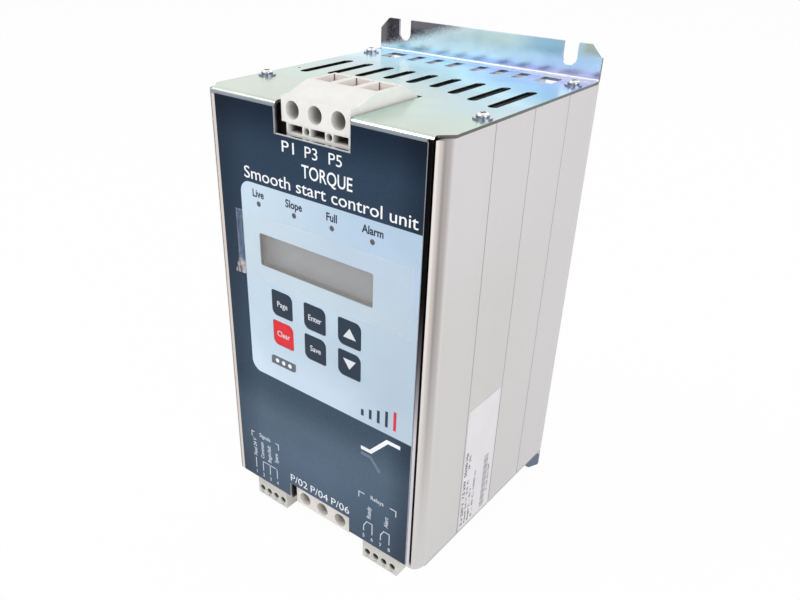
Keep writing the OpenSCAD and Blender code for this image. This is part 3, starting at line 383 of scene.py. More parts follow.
def cover_zinc():
    """Bright zinc with its rainbow sheen, greenish in front, blue further back, lilac at the rear right, with
    painted light, shade and reflections in places.
    """
    finish = Finish("Rainbow zinc plating", 0.24, metallic=1.0)
    wire = finish.wire
    across, deep, up = wire.axes_mm()
    aside, rise = wire.away(across), wire.less(wire.away(up), plate_top)
    from_front, from_rear = wire.less(deep, cover_low.y), wire.less(cover_high.y, deep)
    on_plate = wire.span(rise, 1.2, 0.8)
    on_flange = wire.span(rise, 1.5, 4.0)
    flange_rise = wire.span(rise, 2.0, cover_high.z - plate_top)
    # The sheen runs through its colours from the front left to the rear right, in uneven clouds
    cloud = wire.noise(wire.place(), 26.0, detail=3.0)
    fine_cloud = wire.noise(wire.place(), 120.0, detail=2.0)
    wide = cover_high.x - cover_low.x
    sweep = wire.added(deep, 0.74 / wide, 0.74)
    sweep = wire.added(across, 0.27 / wide, sweep)
    sweep = wire.added(wire.less(cloud, 0.5), 0.42, sweep)
    sweep = wire.added(wire.less(fine_cloud, 0.5), 0.10, sweep)
    sweep = wire.added(on_flange, -0.14, sweep)
    sweep = wire.added(wire.maths("POWER", flange_rise, 2.0), -0.18, sweep)
    sheen = wire.ramp(sweep, [
        (0.0, (206, 216, 203)), (0.26, (201, 219, 211)), (0.36, (197, 219, 222)),
        (0.43, (190, 219, 228)), (0.53, (203, 237, 248)), (0.62, (184, 224, 250)),
        (0.70, (174, 208, 250)), (0.80, (182, 196, 241)), (0.92, (208, 206, 238))])
    # Painted light on the flanges and on the rear of the plate, which mirror each other
    sheen = wire.blend(wire.times(on_flange, 0.5), sheen, paint(236, 247, 254))
    rear_painted_light = wire.times(wire.span(from_rear, 26.0, 16.0), on_plate, 0.4)
    sheen = wire.blend(rear_painted_light, sheen, paint(228, 243, 253))
    # The flanges are steel blue on their right half, light in the middle and olive in the corner
    steel = wire.times(wire.between(across, 8.0, 34.0, 45.0, 53.0),
                       wire.span(flange_rise, 0.2, 0.8, 0.0, 0.75))
    sheen = wire.blend(steel, sheen, paint(140, 186, 218))
    light = wire.times(wire.between(across, -16.0, 2.0, 12.0, 28.0),
                       wire.span(flange_rise, 0.4, 0.9, 0.0, 0.7))
    sheen = wire.blend(light, sheen, paint(218, 240, 243))
    olive = wire.times(wire.span(across, 48.0, 53.0), wire.span(flange_rise, 0.55, 0.9, 0.0, 0.8))
    sheen = wire.blend(olive, sheen, paint(178, 184, 170))
    # Painted dark reflection in the left corner of the flanges, with a grainy edge, paler lower down and at
    # the far left; it is left out of what the plate below mirrors
    speckle = wire.noise(wire.place(), 1000.0, detail=3.0, roughness=0.7)
    edge = wire.added(wire.less(speckle, 0.5), 14.0, across)
    edge = wire.added(wire.less(rise, 2.8), -3.2, edge)
    mirrored = wire.node("ShaderNodeLightPath").outputs["Is Glossy Ray"]
    dark_reflection = wire.times(wire.span(edge, -42.0, -63.0), wire.span(rise, 1.0, 3.0), wire.less(1.0, mirrored))
    dark_reflection_tone = wire.blend(wire.span(speckle, 0.38, 0.62), paint(46, 44, 50), paint(82, 79, 85))
    reflection_fade = wire.times(wire.span(rise, 9.0, 13.0), wire.span(across, -48.0, -38.0))
    reflection_fade = wire.most(reflection_fade, wire.span(across, -54.5, -58.0))
    dark_reflection_tone = wire.blend(wire.times(reflection_fade, 0.7), dark_reflection_tone, paint(124, 122, 128))
    sheen = wire.blend(dark_reflection, sheen, dark_reflection_tone)
    # Pale corner of the plate at the rear right; a rougher strip along the rear with painted shade, and
    # painted shade in the fold behind it
    pale = wire.times(wire.span(from_rear, 13.0, 7.0), wire.span(across, 26.0, 44.0), on_plate, 0.55)
    sheen = wire.blend(pale, sheen, paint(236, 234, 242))
    strip = wire.times(wire.span(from_rear, 6.5, 3.5), on_plate)
    strip_tone = wire.blend(wire.span(across, -16.0, 44.0), paint(162, 172, 180), paint(190, 191, 201))
    sheen = wire.blend(wire.times(strip, 0.85), sheen, strip_tone)
    fold = wire.times(wire.span(from_rear, 1.75, 1.65), wire.span(rise, 0.55, 0.45))
    fold_tone = wire.blend(wire.span(across, 0.0, 40.0), paint(172, 178, 184), paint(154, 160, 167))
    sheen = wire.blend(fold, sheen, fold_tone)
    # Painted reflection of the upper terminal block's side: a teal patch on the plate beside it
    beside, behind = line_high.x, line_high.y
    teal_reflection = wire.times(wire.between(across, beside - 3.0, beside, beside + 3.0, beside + 9.0),
                      wire.span(deep, behind - 1.0, behind - 12.0, 0.0, 0.65),
                      wire.span(up, plate_top - 0.6, plate_top - 0.3))
    sheen = wire.blend(teal_reflection, sheen, paint(176, 206, 196))
    # Sheared edges of the sheet are darker and warmer, those of the rear slots bluish
    side, front, top = wire.facing()
    flat = wire.times(wire.span(from_front, 2.3, 2.9), wire.span(from_rear, 2.8, 3.4))
    sheared = wire.times(wire.span(wire.away(top), 0.5, 0.3), flat, wire.span(rise, 0.4, 0.2))
    sheared = wire.most(sheared, wire.span(wire.away(side), 0.75, 0.95))
    under = wire.span(up, 5.0, -5.0)
    outer = wire.times(under, wire.span(aside, 30.0, 34.0))
    edge_tone = wire.blend(outer, paint(98, 90, 89), paint(192, 187, 187))
    rear_slots = wire.times(wire.span(from_rear, 25.0, 23.0), wire.span(aside, 57.0, 56.0))
    edge_tone = wire.blend(rear_slots, edge_tone, paint(168, 177, 192))
    sheen = wire.blend(wire.times(sheared, 0.92), sheen, edge_tone)
    # Painted shade on the lower flange
    lower_flange_shade = wire.times(under, wire.span(rise, 1.5, 3.0))
    sheen = wire.blend(lower_flange_shade, sheen, paint(112, 122, 137))
    # The bare rim round the label is warm at the left and grey at the top, with painted light in the notch
    # under the block;
    # at the right it is lilac below, with a painted dark reflection above
    rim = wire.times(wire.span(front, -0.75, -0.95), wire.span(from_front, 19.5, 9.5))
    label_top = label_high.z
    top_rim = wire.span(up, label_top - 1.0, label_top)
    rim_tone = wire.blend(top_rim, paint(222, 212, 208), paint(150, 156, 166))
    in_notch = wire.times(wire.span(aside, 26.0, 24.0),
                          wire.between(up, 60.0, 70.0, label_top - 1.5, label_top - 0.5))
    rim_tone = wire.blend(in_notch, rim_tone, paint(238, 239, 241))
    right_tone = wire.blend(wire.span(up, -36.0, 16.0), paint(214, 211, 216), paint(96, 92, 97))
    right_tone = wire.blend(wire.span(up, 0.0, 40.0), right_tone, paint(16, 15, 17))
    rim_tone = wire.blend(wire.span(across, label_high.x - 1.0, label_high.x), rim_tone, right_tone)
    sheen = wire.blend(rim, sheen, rim_tone)
    rough = wire.added(strip, 0.18, wire.added(dark_reflection, 0.3, 0.2))
    return finish.dress(sheen, grain_mm=0.35, shade=0.03, rough_swing=0.08, bump_mm=0.003, patch_mm=22.0,
                        patch_shade=0.03, rough=rough)


def cover_screw():
    """Plated pan heads with painted light and shade: light crown, darker flank, painted shade in the cross,
    bluish washer lighter on its flat top.
    """
    finish = Finish("Plated cover screws", 0.2, metallic=1.0)
    wire = finish.wire
    across, deep, up = wire.axes_mm()
    rise = wire.less(wire.away(up), plate_top)
    aside = wire.less(wire.away(across), screws_high.x - washer_radius)
    half_way = (screws_low.y + screws_high.y) / 2
    along = wire.less(wire.away(deep, half_way), screws_high.y - washer_radius - half_way)
    away = wire.apart(aside, along)
    # Painted light and shade: each face is painted lighter the more it looks up
    level = wire.away(wire.facing("Normal")[2])
    tone = wire.ramp(level, [
        (0.0, (104, 106, 114)), (0.3, (150, 153, 160)), (0.55, (208, 211, 216)),
        (0.8, (242, 243, 246)), (1.0, (228, 230, 233))])
    washer_tone = wire.blend(wire.span(level, 0.4, 0.8), paint(122, 128, 142), paint(206, 212, 224))
    tone = wire.blend(wire.span(away, head_radius + 0.05, head_radius + 0.15), tone, washer_tone)
    # Painted shade in the cross recess
    crown = screws_high.z - plate_top
    cross = wire.times(wire.span(away, cross_radius + 0.1, cross_radius),
                       wire.span(rise, crown - 0.1, crown - 0.25))
    tone = wire.blend(cross, tone, paint(92, 84, 82))
    return finish.dress(tone, grain_mm=0.25, shade=0.05, patch_mm=3.0, patch_shade=0.06)


# Finishes of the front

def label_print():
    """Printed film: navy ground, light field with round corners, pale cut edge."""
    finish = Finish("Printed label film", 0.45, shine=0.06)
    wire = finish.wire
    across, up = wire.axes_mm()[::2]
    left, right = label_low.x, label_high.x
    field = outside_field(wire, across, up, (field_left, field_low), (right + 20.0, field_top), field_corner)
    # Painted light and shade on the navy ground: lighter downwards, darker at both sides and at the lower
    # right
    drop = wire.node("ShaderNodeMapRange", {"Value": up, "From Min": label_high.z, "From Max": label_low.z})
    navy = wire.ramp(drop.outputs["Result"], [
        (0.0, (24, 38, 55)), (0.1, (46, 63, 83)), (0.67, (64, 81, 99)),
        (0.78, (85, 102, 120)), (0.85, (86, 104, 124)), (1.0, (78, 93, 112))])
    aside = wire.most(wire.span(across, right - 15.0, right, 0.0, 0.45),
                      wire.span(across, left + 20.0, left, 0.0, 0.38))
    navy = wire.blend(aside, navy, paint(4, 8, 14))
    low_right_shade = wire.times(wire.span(across, 0.0, 40.0), wire.span(up, -52.0, -80.0, 0.0, 0.22))
    navy = wire.blend(low_right_shade, navy, paint(20, 26, 40))
    dots = wire.placed(surface_grain, {"Grain mm": 1.1, "Strength": 0.22})["Shade"]
    navy = wire.blend(1.0, navy, dots, "MULTIPLY")
    # Painted light and shade on the light field: greyer to the right, darker and bluer above, brighter below
    glow = wire.noise(wire.place(), 14.0, detail=2.0)
    pale = wire.blend(wire.span(across, field_left, right), paint(196, 215, 231), paint(177, 195, 210))
    upper = wire.times(wire.span(up, 15.0, 50.0), wire.span(across, -20.0, 30.0, 0.0, 0.8))
    pale = wire.blend(upper, pale, paint(173, 196, 219))
    lower = wire.times(wire.span(up, -4.0, -26.0), wire.span(across, 44.0, 4.0, 0.1, 0.7))
    pale = wire.blend(lower, pale, paint(206, 224, 241))
    pale = wire.blend(wire.span(glow, 0.35, 0.65, 0.0, 0.12), pale, paint(206, 224, 238))
    print_colour = wire.blend(wire.span(field, 0.08, -0.08), navy, pale)
    cut = wire.span(wire.away(wire.facing()[1]), 0.7, 0.4)
    colour = wire.blend(cut, print_colour, paint(158, 162, 168))
    return finish.dress(colour, grain_mm=0.55, shade=0.05, rough_swing=0.12, bump_mm=0.006, patch_mm=50.0,
                        patch_shade=0.03)


def print_ink(name, colour):
    return one_colour(name, 0.45, colour, shine=0.25, grain_mm=0.4, shade=0.05, bump_mm=0.003)


def key_plastic(name, colour):
    return one_colour(name, 0.42, colour, shine=0.25, grain_mm=0.45, shade=0.07, rough_swing=0.12,
                      bump_mm=0.008, patch_mm=8.0, patch_shade=0.06)


def clear_film():
    """Loose clear film: almost unseen, paler at its edges, folded at the right, creased at its loose end."""
    finish = Finish("Clear protective film", 0.3, shine=0.35)
    wire = finish.wire
    across, up = wire.axes_mm()[::2]
    low, corner, fold_wide = (film_left, film_low.z), 0.6, 3.4
    edge = outside_field(wire, across, up, low, (film_high.x, film_high.z), corner)
    inner = outside_field(wire, across, up, low, (film_high.x - fold_wide, film_high.z), corner)
    rim = wire.span(wire.away(wire.maths("ADD", edge, 0.2)), 0.4, 0.1)
    fold = wire.times(wire.span(wire.away(inner), 0.3, 0.05), wire.span(across, 40.0, 46.0))
    crease = wire.noise(wire.drawn((1.0, 1.0, 0.3)), 620.0, detail=3.0, roughness=0.7)
    loose = wire.span(across, field_left + 0.4, field_left - 0.6)
    crumple = wire.times(loose, wire.span(up, film_crumple, film_crumple - 4.0))
    haze = wire.added(wire.span(crease, 0.45, 0.62), wire.times(loose, 0.15), 0.13)
    haze = wire.added(wire.span(crease, 0.40, 0.60, 0.2, 1.0), wire.times(crumple, 0.5), haze)
    haze = wire.added(rim, 0.12, haze)
    haze = wire.added(fold, 0.10, haze, clamp=True)
    wire.feed(finish.shader.inputs["Alpha"], haze)
    tint = wire.blend(loose, paint(248, 245, 236), paint(176, 196, 230))
    tint = wire.blend(crumple, tint, paint(206, 199, 201))
    return finish.dress(tint, grain_mm=1.2, shade=0.03, bump_mm=0.0, patch_mm=14.0)


def clear_pane():
    finish = Finish("Clear display pane", 0.12, shine=0.4)
    wire = finish.wire
    dust = wire.span(wire.noise(wire.place(), 700.0, detail=2.0), 0.70, 0.78)
    wire.feed(finish.shader.inputs["Alpha"], wire.added(dust, 0.5, 0.10, clamp=True))
    return finish.dress(paint(206, 210, 214), grain_mm=1.0, shade=0.02, rough_swing=0.06, patch_mm=20.0)


def display_glass():
    finish = Finish("Unlit display glass", 0.35, shine=0.3)
    wire = finish.wire
    # Painted shadow along the left edge of the panel, fading out to the right
    past_left_shadow = wire.span(wire.axes_mm()[0], panel_low.x + 2.0, panel_low.x + 14.0)
    tone = wire.blend(past_left_shadow, paint(135, 135, 143), paint(149, 150, 158))
    return finish.dress(tone, shade=0.02, rough_swing=0.05, bump_mm=0.002, patch_mm=18.0, patch_shade=0.02)


# Finishes of the plastic and the parts inside

def terminal_plastic():
    """Warm white plastic, with painted shade down in the screw holes and test openings and painted light on
    the strip below the screw holes.
    """
    finish = Finish("Warm white terminal plastic", 0.48, shine=0.3)
    wire = finish.wire
    across, deep, up = wire.axes_mm()
    height, aside = wire.away(up), wire.away(across)

    # Masks for painted shade down in the screw holes, key holes, control holes and test openings
    def hole(side, middle_up, radius, start, depth):
        away = wire.apart(side, wire.less(height, middle_up))
        inside = wire.span(away, radius + 0.12, radius + 0.04)
        return wire.times(inside, wire.span(deep, start, start + depth))
    side = wire.maths("WRAP", across, pole_pitch / 2, -pole_pitch / 2)
    driver = hole(side, pole_up, driver_radius, line_low.y + 0.1, 7.0)
    from_gap = wire.less(wire.maths("WRAP", across, pole_pitch, 0.0), pole_pitch / 2)
    key_hole = hole(from_gap, probe_up, key_hole_radius, strip_face + 0.1, 3.0)
    control_side = wire.maths("WRAP", wire.less(aside, control_middle), control_pitch, 0.0)
    control_side = wire.less(control_side, control_pitch / 2)
    control = hole(control_side, -control_up, control_radius, output_low.y + 0.1, 1.4)
    opening = outside_field(wire, side, height, (-probe_half, probe_up - probe_half_tall),
                            (probe_half, probe_up + probe_half_tall), corner=0.1)
    opening = wire.times(wire.span(opening, 0.1, 0.02), wire.span(deep, strip_face + 0.1, strip_face + 4.0))
    mark_up = control_up - 2.8
    mark = outside_field(wire, control_side, up, (-0.9, mark_up - 0.3), (0.9, mark_up + 0.3), corner=0.05)
    mark = wire.times(wire.span(mark, 0.08, 0.02), wire.span(deep, output_low.y + 0.08, output_low.y + 0.16))
    # Wire entries: warm inside, with a dark line in their rear corners
    beside = wire.less(wire.away(side), entry_half)
    behind = wire.less(deep, entry_rear)
    over = wire.span(height, pole_up + 1.0, pole_up + 2.0)
    crease = wire.times(wire.span(wire.apart(beside, behind), 0.55, 0.25), over)
    entry = wire.times(wire.span(beside, 0.08, 0.03),
                       wire.between(behind, -entry_long - 0.08, -entry_long - 0.03, 0.03, 0.08), over)
    # Painted shade: the blocks below stand in less light and look greyer, the small ones most; painted light
    # on the strip face below the screw holes
    lower = wire.span(up, 20.0, -20.0)
    small = wire.times(lower, wire.span(aside, 21.0, 24.0))
    lit_strip_face = wire.times(wire.span(deep, strip_face - 0.1, strip_face - 0.02),
                            wire.span(height, pole_up - 4.4, pole_up - 4.8), wire.span(up, 0.0, 10.0))
    hole_shade = wire.most(wire.most(key_hole, opening), control)
    colour = paint(231, 229, 226)
    for mask, share, tone in (
            (lower, 1.0, (226, 221, 216)), (small, 1.0, (205, 203, 197)),
            (lit_strip_face, 1.0, (252, 250, 248)), (entry, 0.7, (243, 231, 226)),
            (crease, 0.85, (112, 84, 80)), (mark, 1.0, (158, 148, 138)),
            (driver, 0.8, (112, 108, 102)), (hole_shade, 0.92, (58, 46, 40))):
        colour = wire.blend(wire.times(mask, share), colour, paint(*tone))
    return finish.dress(colour, shade=0.025, rough_swing=0.12, bump_mm=0.008, patch_mm=9.0, patch_shade=0.02)


def circuit_board():
    """Green board with straight tracks under the lacquer."""
    finish = Finish("Green circuit board", 0.35)
    wire = finish.wire
    track = wire.noise(wire.drawn((1.0, 1.0, 0.05)), 520.0, detail=0.0)
    colour = wire.blend(wire.span(track, 0.5, 0.56), paint(24, 78, 52), paint(42, 104, 70))
    margin = wire.span(wire.away(wire.axes_mm()[0]), 44.0, 46.0)
    colour = wire.blend(margin, colour, paint(16, 22, 20))
    return finish.dress(colour, grain_mm=0.6, bump_mm=0.006, patch_mm=20.0)


def moulded(name, colour, roughness=0.5):
    return one_colour(name, roughness, colour, shine=0.4, shade=0.07, rough_swing=0.14, bump_mm=0.012,
                      patch_shade=0.06)


screw_metal = one_colour("Bright plated screws", 0.2, paint(214, 216, 220), metallic=1.0, grain_mm=0.25,
                         rough_swing=0.12, bump_mm=0.006, patch_mm=3.0, patch_shade=0.08)
plated_head = cover_screw()
copper = one_colour("Tinned copper", 0.3, paint(214, 200, 184), metallic=1.0, rough_swing=0.14,
                    stretch=(1.0, 0.1, 1.0), patch_mm=6.0)
brass = one_colour("Turned brass", 0.3, paint(206, 176, 110), metallic=1.0, grain_mm=0.3,
                   stretch=(0.2, 3.0, 0.2), patch_mm=8.0)
frame_metal = one_colour("Dull frame metal", 0.55, paint(118, 116, 116), metallic=0.4, grain_mm=0.3,
                         patch_mm=12.0)
lens_dark = one_colour("Dark lamp lens", 0.35, paint(84, 84, 88), shine=0.4, shade=0.08, patch_mm=2.0,
                       patch_shade=0.08)
paper = one_colour("White sticker paper", 0.5, paint(216, 213, 217), shine=0.3, grain_mm=0.3, shade=0.02,
                   rough_swing=0.08, patch_mm=15.0, patch_shade=0.015)
terminal_white = terminal_plastic()
board_green = circuit_board()
black_case = moulded("Black case plastic", paint(34, 34, 36))
key_navy = key_plastic("Navy key", paint(32, 48, 66))
film_clear = clear_film()

finishes = {
    "heatsink_body": body_aluminium(), "chassis_cover": cover_zinc(), "front_label": label_print(),
    "display_pane": clear_pane(), "display_frame": frame_metal, "display_panel": display_glass(),
    "display_board": board_green, "display_spacers": moulded("Natural nylon", paint(228, 226, 214)),
    "protective_film": film_clear, "side_sticker": paper,
    "cover_screws_top": plated_head, "cover_screws_bottom": plated_head,
    "lamp_lenses": lens_dark, "lamps": moulded("Clear lamp resin", paint(226, 226, 214), 0.25),
    "key_switches": black_case, "control_board": board_green, "control_chips": black_case,
    "link_cable": moulded("Grey flat cable", paint(182, 182, 178)), "power_board": board_green,
    "line_terminal_block": terminal_white, "load_terminal_block": terminal_white,
    "line_busbars": copper, "load_busbars": copper,
    "input_terminal_block": terminal_white, "output_terminal_block": terminal_white,
    "control_contacts": copper, "power_modules": black_case, "module_posts": brass,
    "bypass_relays": moulded("Dark blue relay case", paint(34, 40, 58)),
    "current_transformers": moulded("Green coil coating", paint(40, 84, 58)),
    "key_reset": key_plastic("Red key", paint(214, 40, 48)),
}
for name, part in nodes.items():
    spare = key_navy if name.startswith("key_") else screw_metal
    part.data.materials.clear()
    part.data.materials.append(finishes.get(name, spare))


# Broken edges: the parts keep their meshes and get a small round on their sharp edges

def break_edges(node, width_mm, segments=2, angle=32.0):
    part = nodes[node]
    weld = part.modifiers.new("Joined corners", "WELD")
    weld.merge_threshold = 0.002 * MM
    flat = part.modifiers.new("Whole faces", "DECIMATE")
    flat.decimate_type = "DISSOLVE"
    flat.angle_limit = math.radians(0.5)
    edge = part.modifiers.new("Broken edges", "BEVEL")
    edge.width = width_mm * MM
    edge.segments = segments
    edge.limit_method = "ANGLE"
    edge.angle_limit = math.radians(angle)
    even = part.modifiers.new("Even faces", "WEIGHTED_NORMAL")
    even.weight = 100
    even.keep_sharp = True


for node, width_mm in (("heatsink_body", 0.12), ("chassis_cover", 0.1), ("line_terminal_block", 0.3),
                       ("load_terminal_block", 0.3), ("input_terminal_block", 0.2),
                       ("output_terminal_block", 0.2)):
    break_edges(node, width_mm)


# Printed legends: thin solid letters and lines on the label, the keys and the sticker

ink_t = 0.03
letter_font = bpy.data.curves.new("letters", "FONT")
letter_font.extrude = 0.5
letter_font.resolution_u = 4
letter_holder = in_scene("letters", letter_font)


def letter_shape(words, weight):
    """The words as one mesh of height about 1, with its lowest and highest corner."""
    letter_font.body = words
    letter_font.offset = weight
    bpy.context.view_layer.update()
    made = bpy.data.meshes.new_from_object(letter_holder.evaluated_get(bpy.context.evaluated_depsgraph_get()))
    places = [v.co for v in made.vertices]
    low = Vector([min(p[i] for p in places) for i in range(3)])
    high = Vector([max(p[i] for p in places) for i in range(3)])
    return made, low, high


capital = letter_shape("H", 0.0)
capital_height = capital[2].y - capital[1].y


class Print:
    """One colour of ink on one face; face turns a place on it into the object's frame."""

    def __init__(self, face):
        self.mesh = bmesh.new()
        self.face = face

    def words(self, text, across, up, cap, width=None, turn=0.0, weight=0.012, squeeze=0.9):
        made, low, high = letter_shape(text, weight)
        tall = cap / capital_height
        wide = width / (high.x - low.x) if width else tall * squeeze
        middle = Vector(((low.x + high.x) / 2, capital_height / 2, 0.5))
        shape = Matrix.Diagonal((wide, tall, ink_t, 1.0)) @ Matrix.Translation(-middle + Vector((0, 0, 1.0)))
        spot = Matrix.Translation((across, up, 0.0)) @ Matrix.Rotation(math.radians(turn), 4, "Z")
        made.transform(self.face @ spot @ shape)
        self.mesh.from_mesh(made)
        bpy.data.meshes.remove(made)

    def outline(self, points):
        """A filled flat shape with the ink's thickness."""
        rear = [self.mesh.verts.new(self.face @ Vector((x, z, -ink_t / 2))) for x, z in points]
        front = [self.mesh.verts.new(self.face @ Vector((x, z, ink_t))) for x, z in points]
        self.mesh.faces.new(front)
        self.mesh.faces.new(list(reversed(rear)))
        for i in range(len(points)):
            j = (i + 1) % len(points)
            self.mesh.faces.new((rear[i], rear[j], front[j], front[i]))

    def bar(self, x0, z0, x1, z1, thick):
        along = Vector((x1 - x0, z1 - z0)).normalized() * thick / 2
        side = Vector((-along.y, along.x))
        a, b = Vector((x0, z0)) - along, Vector((x1, z1)) + along
        self.outline([a - side, b - side, b + side, a + side])

    def line(self, points, thick):
        """One bent line with mitred corners."""
        places = [Vector(point) for point in points]
        ways = [(b - a).normalized() for a, b in zip(places, places[1:])]
        one_side, other_side = [], []
        for k, place in enumerate(places):
            before, after = ways[max(k - 1, 0)], ways[min(k, len(ways) - 1)]
            normal = Vector((-before.y - after.y, before.x + after.x)).normalized()
            reach = thick / 2 / normal.dot(Vector((-after.y, after.x)))
            one_side.append(place + normal * reach)
            other_side.append(place - normal * reach)
        self.outline(other_side + one_side[::-1])

    def disc(self, x, z, radius, count=20):
        turns = [2 * math.pi * k / count for k in range(count)]
        self.outline([(x + radius * math.cos(t), z + radius * math.sin(t)) for t in turns])

    def done(self, name, ink, body):
        bmesh.ops.recalc_face_normals(self.mesh, faces=self.mesh.faces)
        made = bpy.data.meshes.new(name)
        self.mesh.to_mesh(made)
        self.mesh.free()
        made.materials.append(ink)
        piece = in_scene(name, made)
        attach(piece, body)
        return piece


def front_face(depth_mm):
    """Places across and up on a face that looks to the front, in millimetres."""
    return Matrix.Diagonal((MM, MM, MM, 1.0)) @ Matrix(
        ((1, 0, 0, 0), (0, 0, -1, depth_mm), (0, 1, 0, 0), (0, 0, 0, 1)))


def right_face(side_mm):
    """Places along the depth and up on a face that looks to the right."""
    return Matrix.Diagonal((MM, MM, MM, 1.0)) @ Matrix(
        ((0, 0, 1, side_mm), (1, 0, 0, 0), (0, 1, 0, 0), (0, 0, 0, 1)))


white_ink = print_ink("White print", paint(238, 241, 245))
grey_ink = print_ink("Pale grey print", paint(204, 212, 222))
key_ink = print_ink("Key print", paint(214, 221, 228))
dark_ink = print_ink("Dark print", paint(44, 54, 70))
red_ink = print_ink("Red print", paint(206, 46, 62))
text_ink = print_ink("Grey sticker print", paint(92, 91, 98))


def label_white_words():
    ink = Print(front_face(label_face))
    line_step, load_step = 12.3, 13.6
    for k, (line_mark, load_mark) in enumerate((("P1", "P/02"), ("P3", "P/04"), ("P5", "P/06"))):
        ink.words(line_mark, (k - 1) * line_step, up=84.4, cap=4.5, width=6.6, weight=0.0)
        ink.words(load_mark, 0.4 + (k - 1) * load_step, up=-86.0, cap=4.3, width=11.4, weight=-0.002)
    ink.words("TORQUE", 7.75, up=76.5, cap=5.2, width=26.0, weight=0.008)
    ink.words("Smooth start control unit", 6.6, up=69.4, cap=5.0, width=90.0, weight=0.004)
    # A rising line that levels off, the plain sign for a soft start
    left, knee, low, high = 26.5, 32.0, -43.5, -33.5
    ink.line([(left, low), (knee, low), (41.0, high), (48.0, high)], 1.9)
    ink.done("label_white_print", white_ink, "starter")
    # Its faint mirror image below
    faint = Print(front_face(label_face))
    faint.line([(left, -46.6), (knee, -46.6), (37.4, -52.6)], 1.7)
    slate_ink = print_ink("Faint slate print", paint(104, 120, 140))
    faint.done("label_faint_print", slate_ink, "starter")


def label_fine_words():
    """Small legends over the control terminals: a bracket, words that stand up, and lead lines."""
    ink = Print(front_face(label_face))
    pitch, half = control_pitch, control_pitch / 2
    left, right = (input_low.x + input_high.x) / 2, control_middle
    title_up, bracket_low, lead_high, lead_low, number_up = -69.8, -73.2, -86.6, -92.6, -95.6
    cap, lead = 2.3, 0.5

    def bracket(word, middle, outer, inner):
        ink.words(word, middle, title_up, cap, weight=0.01)
        for way in (-1, 1):
            end = middle + way * outer
            points = [(end, bracket_low), (end, title_up), (middle + way * inner, title_up)]
            ink.line(points[::-way], lead)

    def numbers(first, middle):
        for k in range(4):
            ink.words(str(first + k), middle + (k - 1.5) * pitch, number_up, cap=2.2, weight=0.008)
    bracket("Signals", left, outer=9.6, inner=7.6)
    for k, mark in enumerate(("Feed 24 V", "Common", "Begin/halt", "Spare")):
        x = left + (k - 1.5) * pitch
        ink.words(mark, x, -79.2, cap, turn=90.0, squeeze=0.82)
        ink.bar(x, lead_low, x, lead_high, lead)
    ink.bar(left - half, lead_high, left + 3 * half, lead_high, lead)
    numbers(1, left)
    bracket("Relays", right, outer=10.8, inner=7.4)
    for k, mark in enumerate(("Ready", "Alert")):
        x = right + (k * 2 - 1) * pitch
        ink.words(mark, x + 0.4, -79.6, cap, turn=90.0)
        # An open contact: an arm on the left lead and a bent right lead
        ink.line([(x - half, lead_low), (x - half, -89.2), (x - half + 1.6, -86.4)], lead)
        ink.line([(x - half + 1.4, -86.0), (x + half, -86.0), (x + half, lead_low)], lead)
    numbers(5, right)
    ink.done("label_fine_print", grey_ink, "starter")


def label_dark_words():
    ink = Print(front_face(label_face))
    lamp_low, lamp_high = box_mm("lamp_lenses")
    lamp_x = (lamp_high.x - lamp_low.x) / 2 - 1.9
    for k, mark in enumerate(("Live", "Slope", "Full", "Alarm")):
        ink.words(mark, lamp_x * (2 * k - 3) / 3, up=61.0, cap=3.2, weight=0.026)
    # Three phases as three dots in a badge with two cut corners
    badge_up, badge_half, badge_left, badge_right, cut = -18.6, 2.4, -28.0, -12.4, 1.2
    low, high = badge_up - badge_half, badge_up + badge_half
    badge = Print(front_face(label_face + 0.005))
    badge.outline([(badge_left, low), (badge_right - cut, low), (badge_right, low + cut), (badge_right, high),
                   (badge_left + cut, high), (badge_left, high - cut)])
    badge.done("label_badge", print_ink("Slate print", paint(96, 104, 116)), "starter")
    # Five rising bars, the last and tallest one red
    bar_left, bar_step, bar_low, bar_thick = 27.0, 4.4, -25.2, 1.5
    for k in range(4):
        x = bar_left + k * bar_step
        ink.bar(x, bar_low, x, -23.4 + k * 1.6, bar_thick)
    ink.done("label_dark_print", dark_ink, "starter")
    dots = Print(front_face(label_face - 0.02))
    for k in range(3):
        dots.disc(-24.2 + k * 4.0, badge_up, radius=1.1)
    dots.done("label_badge_dots", white_ink, "starter")
    red = Print(front_face(label_face))
    x = bar_left + 4 * bar_step
    red.bar(x, bar_low, x, -17.0, bar_thick)
    red.done("label_red_print", red_ink, "starter")


def key_legends():
    for key, word in (("key_menu", "Page"), ("key_enter", "Enter"), ("key_reset", "Clear"),
                      ("key_view", "Save")):
        x, face, z = key_places[key]
        ink = Print(front_face(face))
        ink.words(word, x, z - 0.2, cap=2.7, weight=0.008)
        ink.done("legend_" + key, key_ink, key)
    half, rise = 3.5, 2.4
    for key, way in (("key_up", 1), ("key_down", -1)):
        x, face, z = key_places[key]
        ink = Print(front_face(face))
        ink.outline([(x - half, z - rise * way), (x + half, z - rise * way), (x, z + rise * way)])
        ink.done("legend_" + key, key_ink, key)


